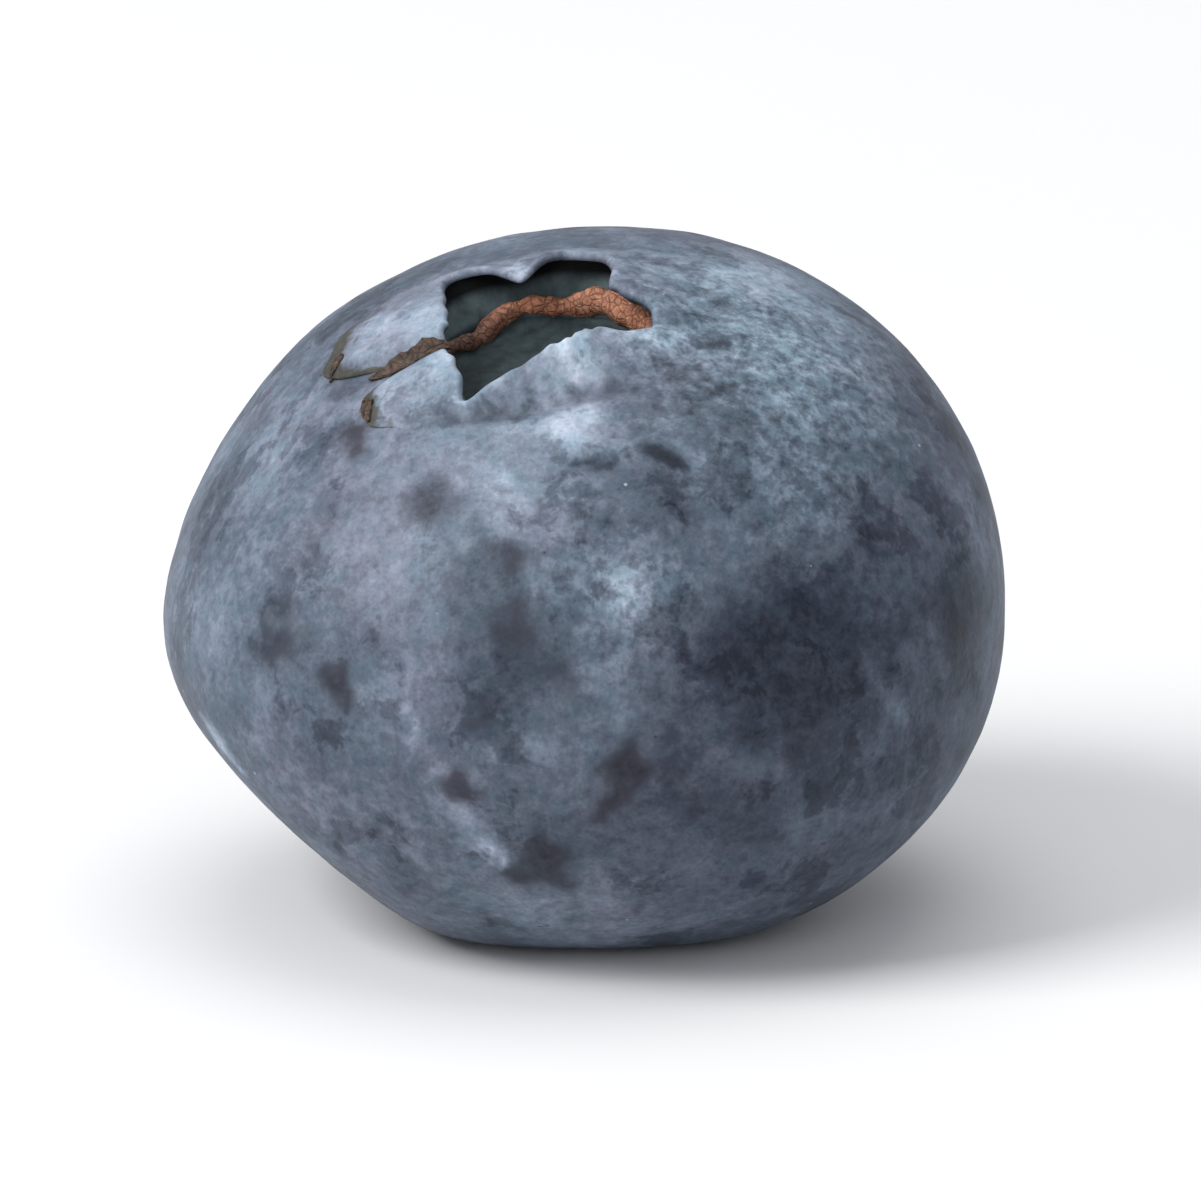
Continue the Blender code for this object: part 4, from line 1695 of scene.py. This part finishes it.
@dataclass
class DryFlakes(SmallPiece):
    """Torn papery tips of the calyx lobes, lying on the lobes' edges."""

    flakes: tuple[Flake, ...] = (
        Flake(184.5, 0.00258, 0.00165, 0.00080, 0.0, 0.00004),
        Flake(171.0, 0.00418, 0.00062, 0.00030, 78.0, 0.00002),
        Flake(200.0, 0.00366, 0.00060, 0.00034, 74.0, 0.00003),
    )
    thickness: float = 0.00004
    clearance: float = 0.00002
    crumple: float = 0.00002
    first_seed: int = 100

    def build(self) -> list[bpy.types.Object]:
        """Models each flake from a grid and lays it on the lobe."""
        return [self.flake(number, flake) for number, flake in enumerate(self.flakes)]

    def laid(self, flake: Flake, along: np.ndarray, across: np.ndarray, seed: int) -> np.ndarray:
        """Shapes a grid into a pointed, ragged and curled leaf on the calyx.

        Args:
            flake: The flake's place and size.
            along: The grid's points along the leaf, -1 to 1.
            across: The same across it.
            seed: The random draw's seed.

        Returns:
            The points, upright round the origin.
        """
        calyx = self.fruit.calyx
        shifts = np.random.default_rng(seed).uniform(0.0, math.tau, 4)
        taper = np.sqrt(np.clip(1.0 - np.abs(along) ** 2.4, 0.0, 1.0)) * (0.60 - 0.40 * along)
        ragged = 1.0 + 0.12 * np.sin(along * 9.0 + shifts[0]) + 0.07 * np.sin(along * 23.0 + shifts[1])
        length = along * flake.length / 2.0
        width = across * taper * ragged * flake.width / 2.0
        lean = math.radians(flake.turn)
        radius = flake.radius + length * math.cos(lean) - width * math.sin(lean)
        angle = math.radians(flake.angle) + (length * math.sin(lean) + width * math.cos(lean)) / flake.radius
        base = np.clip(radius, calyx.lip_at(angle), calyx.reach_at(angle))
        ground = np.where(radius > base, Fruit.shoulder_level(radius), calyx.surface(base, angle))
        curl = flake.curl * (along ** 2 * 0.8 + across ** 2 * 0.5)
        crumple = self.crumple * np.sin(along * 7.0 + shifts[2]) * np.cos(across * 5.0 + shifts[3])
        return Shape.upright(radius, angle, ground + self.clearance + curl + crumple)

    def flake(self, number: int, flake: Flake) -> bpy.types.Object:
        """One flake, laid on the calyx and given its thickness.

        Args:
            number: Its number, from 0.
            flake: Its place and size.

        Returns:
            The piece.
        """
        Bench.clear()
        bpy.ops.mesh.primitive_grid_add(x_subdivisions=22, y_subdivisions=10, size=2.0)
        piece = Bench.take(f"dry_flake_{number + 1}")
        grid = Bench.points(piece)
        laid = self.laid(flake, grid[:, 0], grid[:, 1], self.first_seed + number)
        Bench.move(piece, self.fruit.posture.settle(laid))
        Bench.pick(piece)
        bpy.ops.object.mode_set(mode="EDIT")
        Bench.seal()
        shell = piece.modifiers.new("thickness", "SOLIDIFY")
        shell.thickness = self.thickness
        shell.offset = 0.0
        Bench.apply(piece)
        Bench.smooth(piece, self.sharp_angle)
        return piece


@dataclass
class StemCork(SmallPiece):
    """The corky scar that the stem left, in its shallow recess at the other end."""

    reliefs: ClassVar[Outline] = [(0.00020, 0.00006)]
    steps_around: int = 160
    clearance: float = 0.00002
    torn: Ripple = Ripple(4, 36, 83, 0.000045)
    ragged: Ripple = Ripple(3, 16, 89, 0.05)

    def outline(self) -> Outline:
        """The plug from the middle of its face out to its sunk edge.

        Returns:
            Pairs of radius and level, the level up into the fruit from the plug's face.
        """
        shares = (
            (0.0, 0.10), (0.10, 0.16), (0.18, 0.06), (0.28, 0.00), (0.38, 0.02),
            (0.48, 0.00), (0.58, 0.05), (0.66, 0.22), (0.74, 0.26), (0.82, 0.20),
            (0.90, -0.02), (0.97, 0.06), (1.00, 0.40), (0.90, 0.90), (0.0, 1.00),
        )
        corners = [(self.fruit.scar_radius * out, self.fruit.scar_depth * inwards) for out, inwards in shares]
        sides = [Shape.line(start, end, 3) for start, end in zip(corners, corners[1:])]
        return corners[:1] + [point for side in sides for point in side]

    def build(self) -> bpy.types.Object:
        """Models the plug: spun, cracked and torn.

        Returns:
            The piece.
        """
        fruit = self.fruit
        cork = Bench.spun("stem_cork", self.outline(), self.steps_around)
        radius, turn, level = Shape.polar(Bench.points(cork))
        torn = self.torn.at(turn) * Shape.rise(radius / fruit.scar_radius, 0.15, 0.8)
        level = level + torn - fruit.stem_height + fruit.dimple_depth + self.clearance
        Bench.move(cork, Shape.upright(radius * (1.0 + self.ragged.at(turn)), turn, level))
        return self.settled(cork)


@dataclass(frozen=True)
class Softbox:
    """A square area light: where it stands, its side, its power in watts and its colour."""

    name: str
    place: Place
    side: float
    power: float
    colour: Colour


@dataclass(frozen=True)
class Studio:
    """The pale floor, the soft light and the camera."""

    target: Place = (0.0003, 0.0, 0.0058)
    camera_distance: float = 0.38
    camera_elevation: float = 16.0
    clip_start: float = 0.01
    lens: float = 600.0
    sensor: float = 36.0
    floor_side: float = 6.0
    world_colour: Colour = (0.95, 0.97, 1.00)
    world_strength: float = 0.53
    boxes: tuple[Softbox, ...] = (
        Softbox("key", (-0.27, -0.11, 0.28), 0.20, 1.46, (1.0, 0.99, 0.97)),
        Softbox("top", (0.02, 0.09, 0.40), 0.30, 0.60, (1.0, 1.0, 1.0)),
        Softbox("front_fill", (-0.02, -0.36, 0.20), 0.26, 0.24, (0.97, 0.98, 1.0)),
    )

    def build(self) -> None:
        """Makes the floor, the light and the camera."""
        self.floor()
        self.surrounding()
        for box in self.boxes:
            self.light(box)
        self.camera()

    def floor(self) -> None:
        """A wide floor with its upper side facing up."""
        Bench.clear()
        bpy.ops.mesh.primitive_plane_add(size=self.floor_side)
        floor = Bench.take("studio_floor")
        bpy.ops.object.mode_set(mode="EDIT")
        bpy.ops.mesh.subdivide(number_cuts=3)
        Bench.seal()
        if floor.data.polygons[0].normal.z < 0.0:
            floor.data.flip_normals()
        floor.data.materials.append(PaleFloor().material())

    def surrounding(self) -> None:
        """An even pale light from all round."""
        world = bpy.data.worlds.new("soft_surrounding")
        world.use_nodes = True
        sky = world.node_tree.nodes["Background"]
        sky.inputs["Color"].default_value = (*self.world_colour, 1.0)
        sky.inputs["Strength"].default_value = self.world_strength
        bpy.context.scene.world = world

    def light(self, box: Softbox) -> None:
        """One softbox, turned towards the berry.

        Args:
            box: Its place, size, power and colour.
        """
        Bench.clear()
        bpy.ops.object.light_add(type="AREA", location=box.place)
        lamp = bpy.context.active_object
        lamp.name = box.name
        lamp.data.shape = "SQUARE"
        lamp.data.size = box.side
        lamp.data.energy = box.power
        lamp.data.color = box.colour
        lamp.rotation_euler = (Vector(self.target) - lamp.location).to_track_quat("-Z", "Y").to_euler()

    def camera(self) -> None:
        """The camera at the photograph's viewing angle, from well back."""
        rise = math.radians(self.camera_elevation)
        back = Vector((0.0, -math.cos(rise), math.sin(rise)))
        Bench.clear()
        bpy.ops.object.camera_add(location=Vector(self.target) + back * self.camera_distance)
        camera = bpy.context.active_object
        camera.rotation_euler = (-back).to_track_quat("-Z", "Y").to_euler()
        camera.data.lens = self.lens
        camera.data.sensor_width = self.sensor
        camera.data.clip_start = self.clip_start
        bpy.context.scene.camera = camera
        bpy.context.scene.view_settings.view_transform = "Standard"


def dress(piece: bpy.types.Object, material: bpy.types.Material) -> None:
    """Gives a piece its material and rides it on the berry's body.

    Args:
        piece: The piece.
        material: Its material.
    """
    piece.data.materials.clear()
    piece.data.materials.append(material)
    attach(piece, BODY)
    log.info("%s: %d faces", piece.name, len(piece.data.polygons))


def main() -> None:
    """Builds the berry and its studio."""
    logging.basicConfig(level=logging.INFO, format="%(message)s")
    posture = Posture()
    fruit = Fruit(Calyx(), posture)
    body = fruit.build()
    origin = tuple(posture.offset * MILLIMETRES_PER_METRE)
    skin = BloomedSkin(origin, tuple(posture.lean().to_euler()))
    dress(body, skin.material())
    skin.mark(body)
    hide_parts(NODE)
    dress(CraterRing(fruit).build(), RustCork("rust_ring").material())
    dress(StyleStub(fruit).build(), RustCork("style_cork", DRY_STOPS, grain=0.06).material())
    flake_finish = RustCork("dry_tissue", DRY_STOPS, grain=0.12, pale_share=0.15).material()
    for flake in DryFlakes(fruit).build():
        dress(flake, flake_finish)
    dress(StemCork(fruit).build(), RustCork("stem_cork", grain=0.09, pale_share=0.7).material())
    Studio().build()


if __name__ == "__main__":
    main()
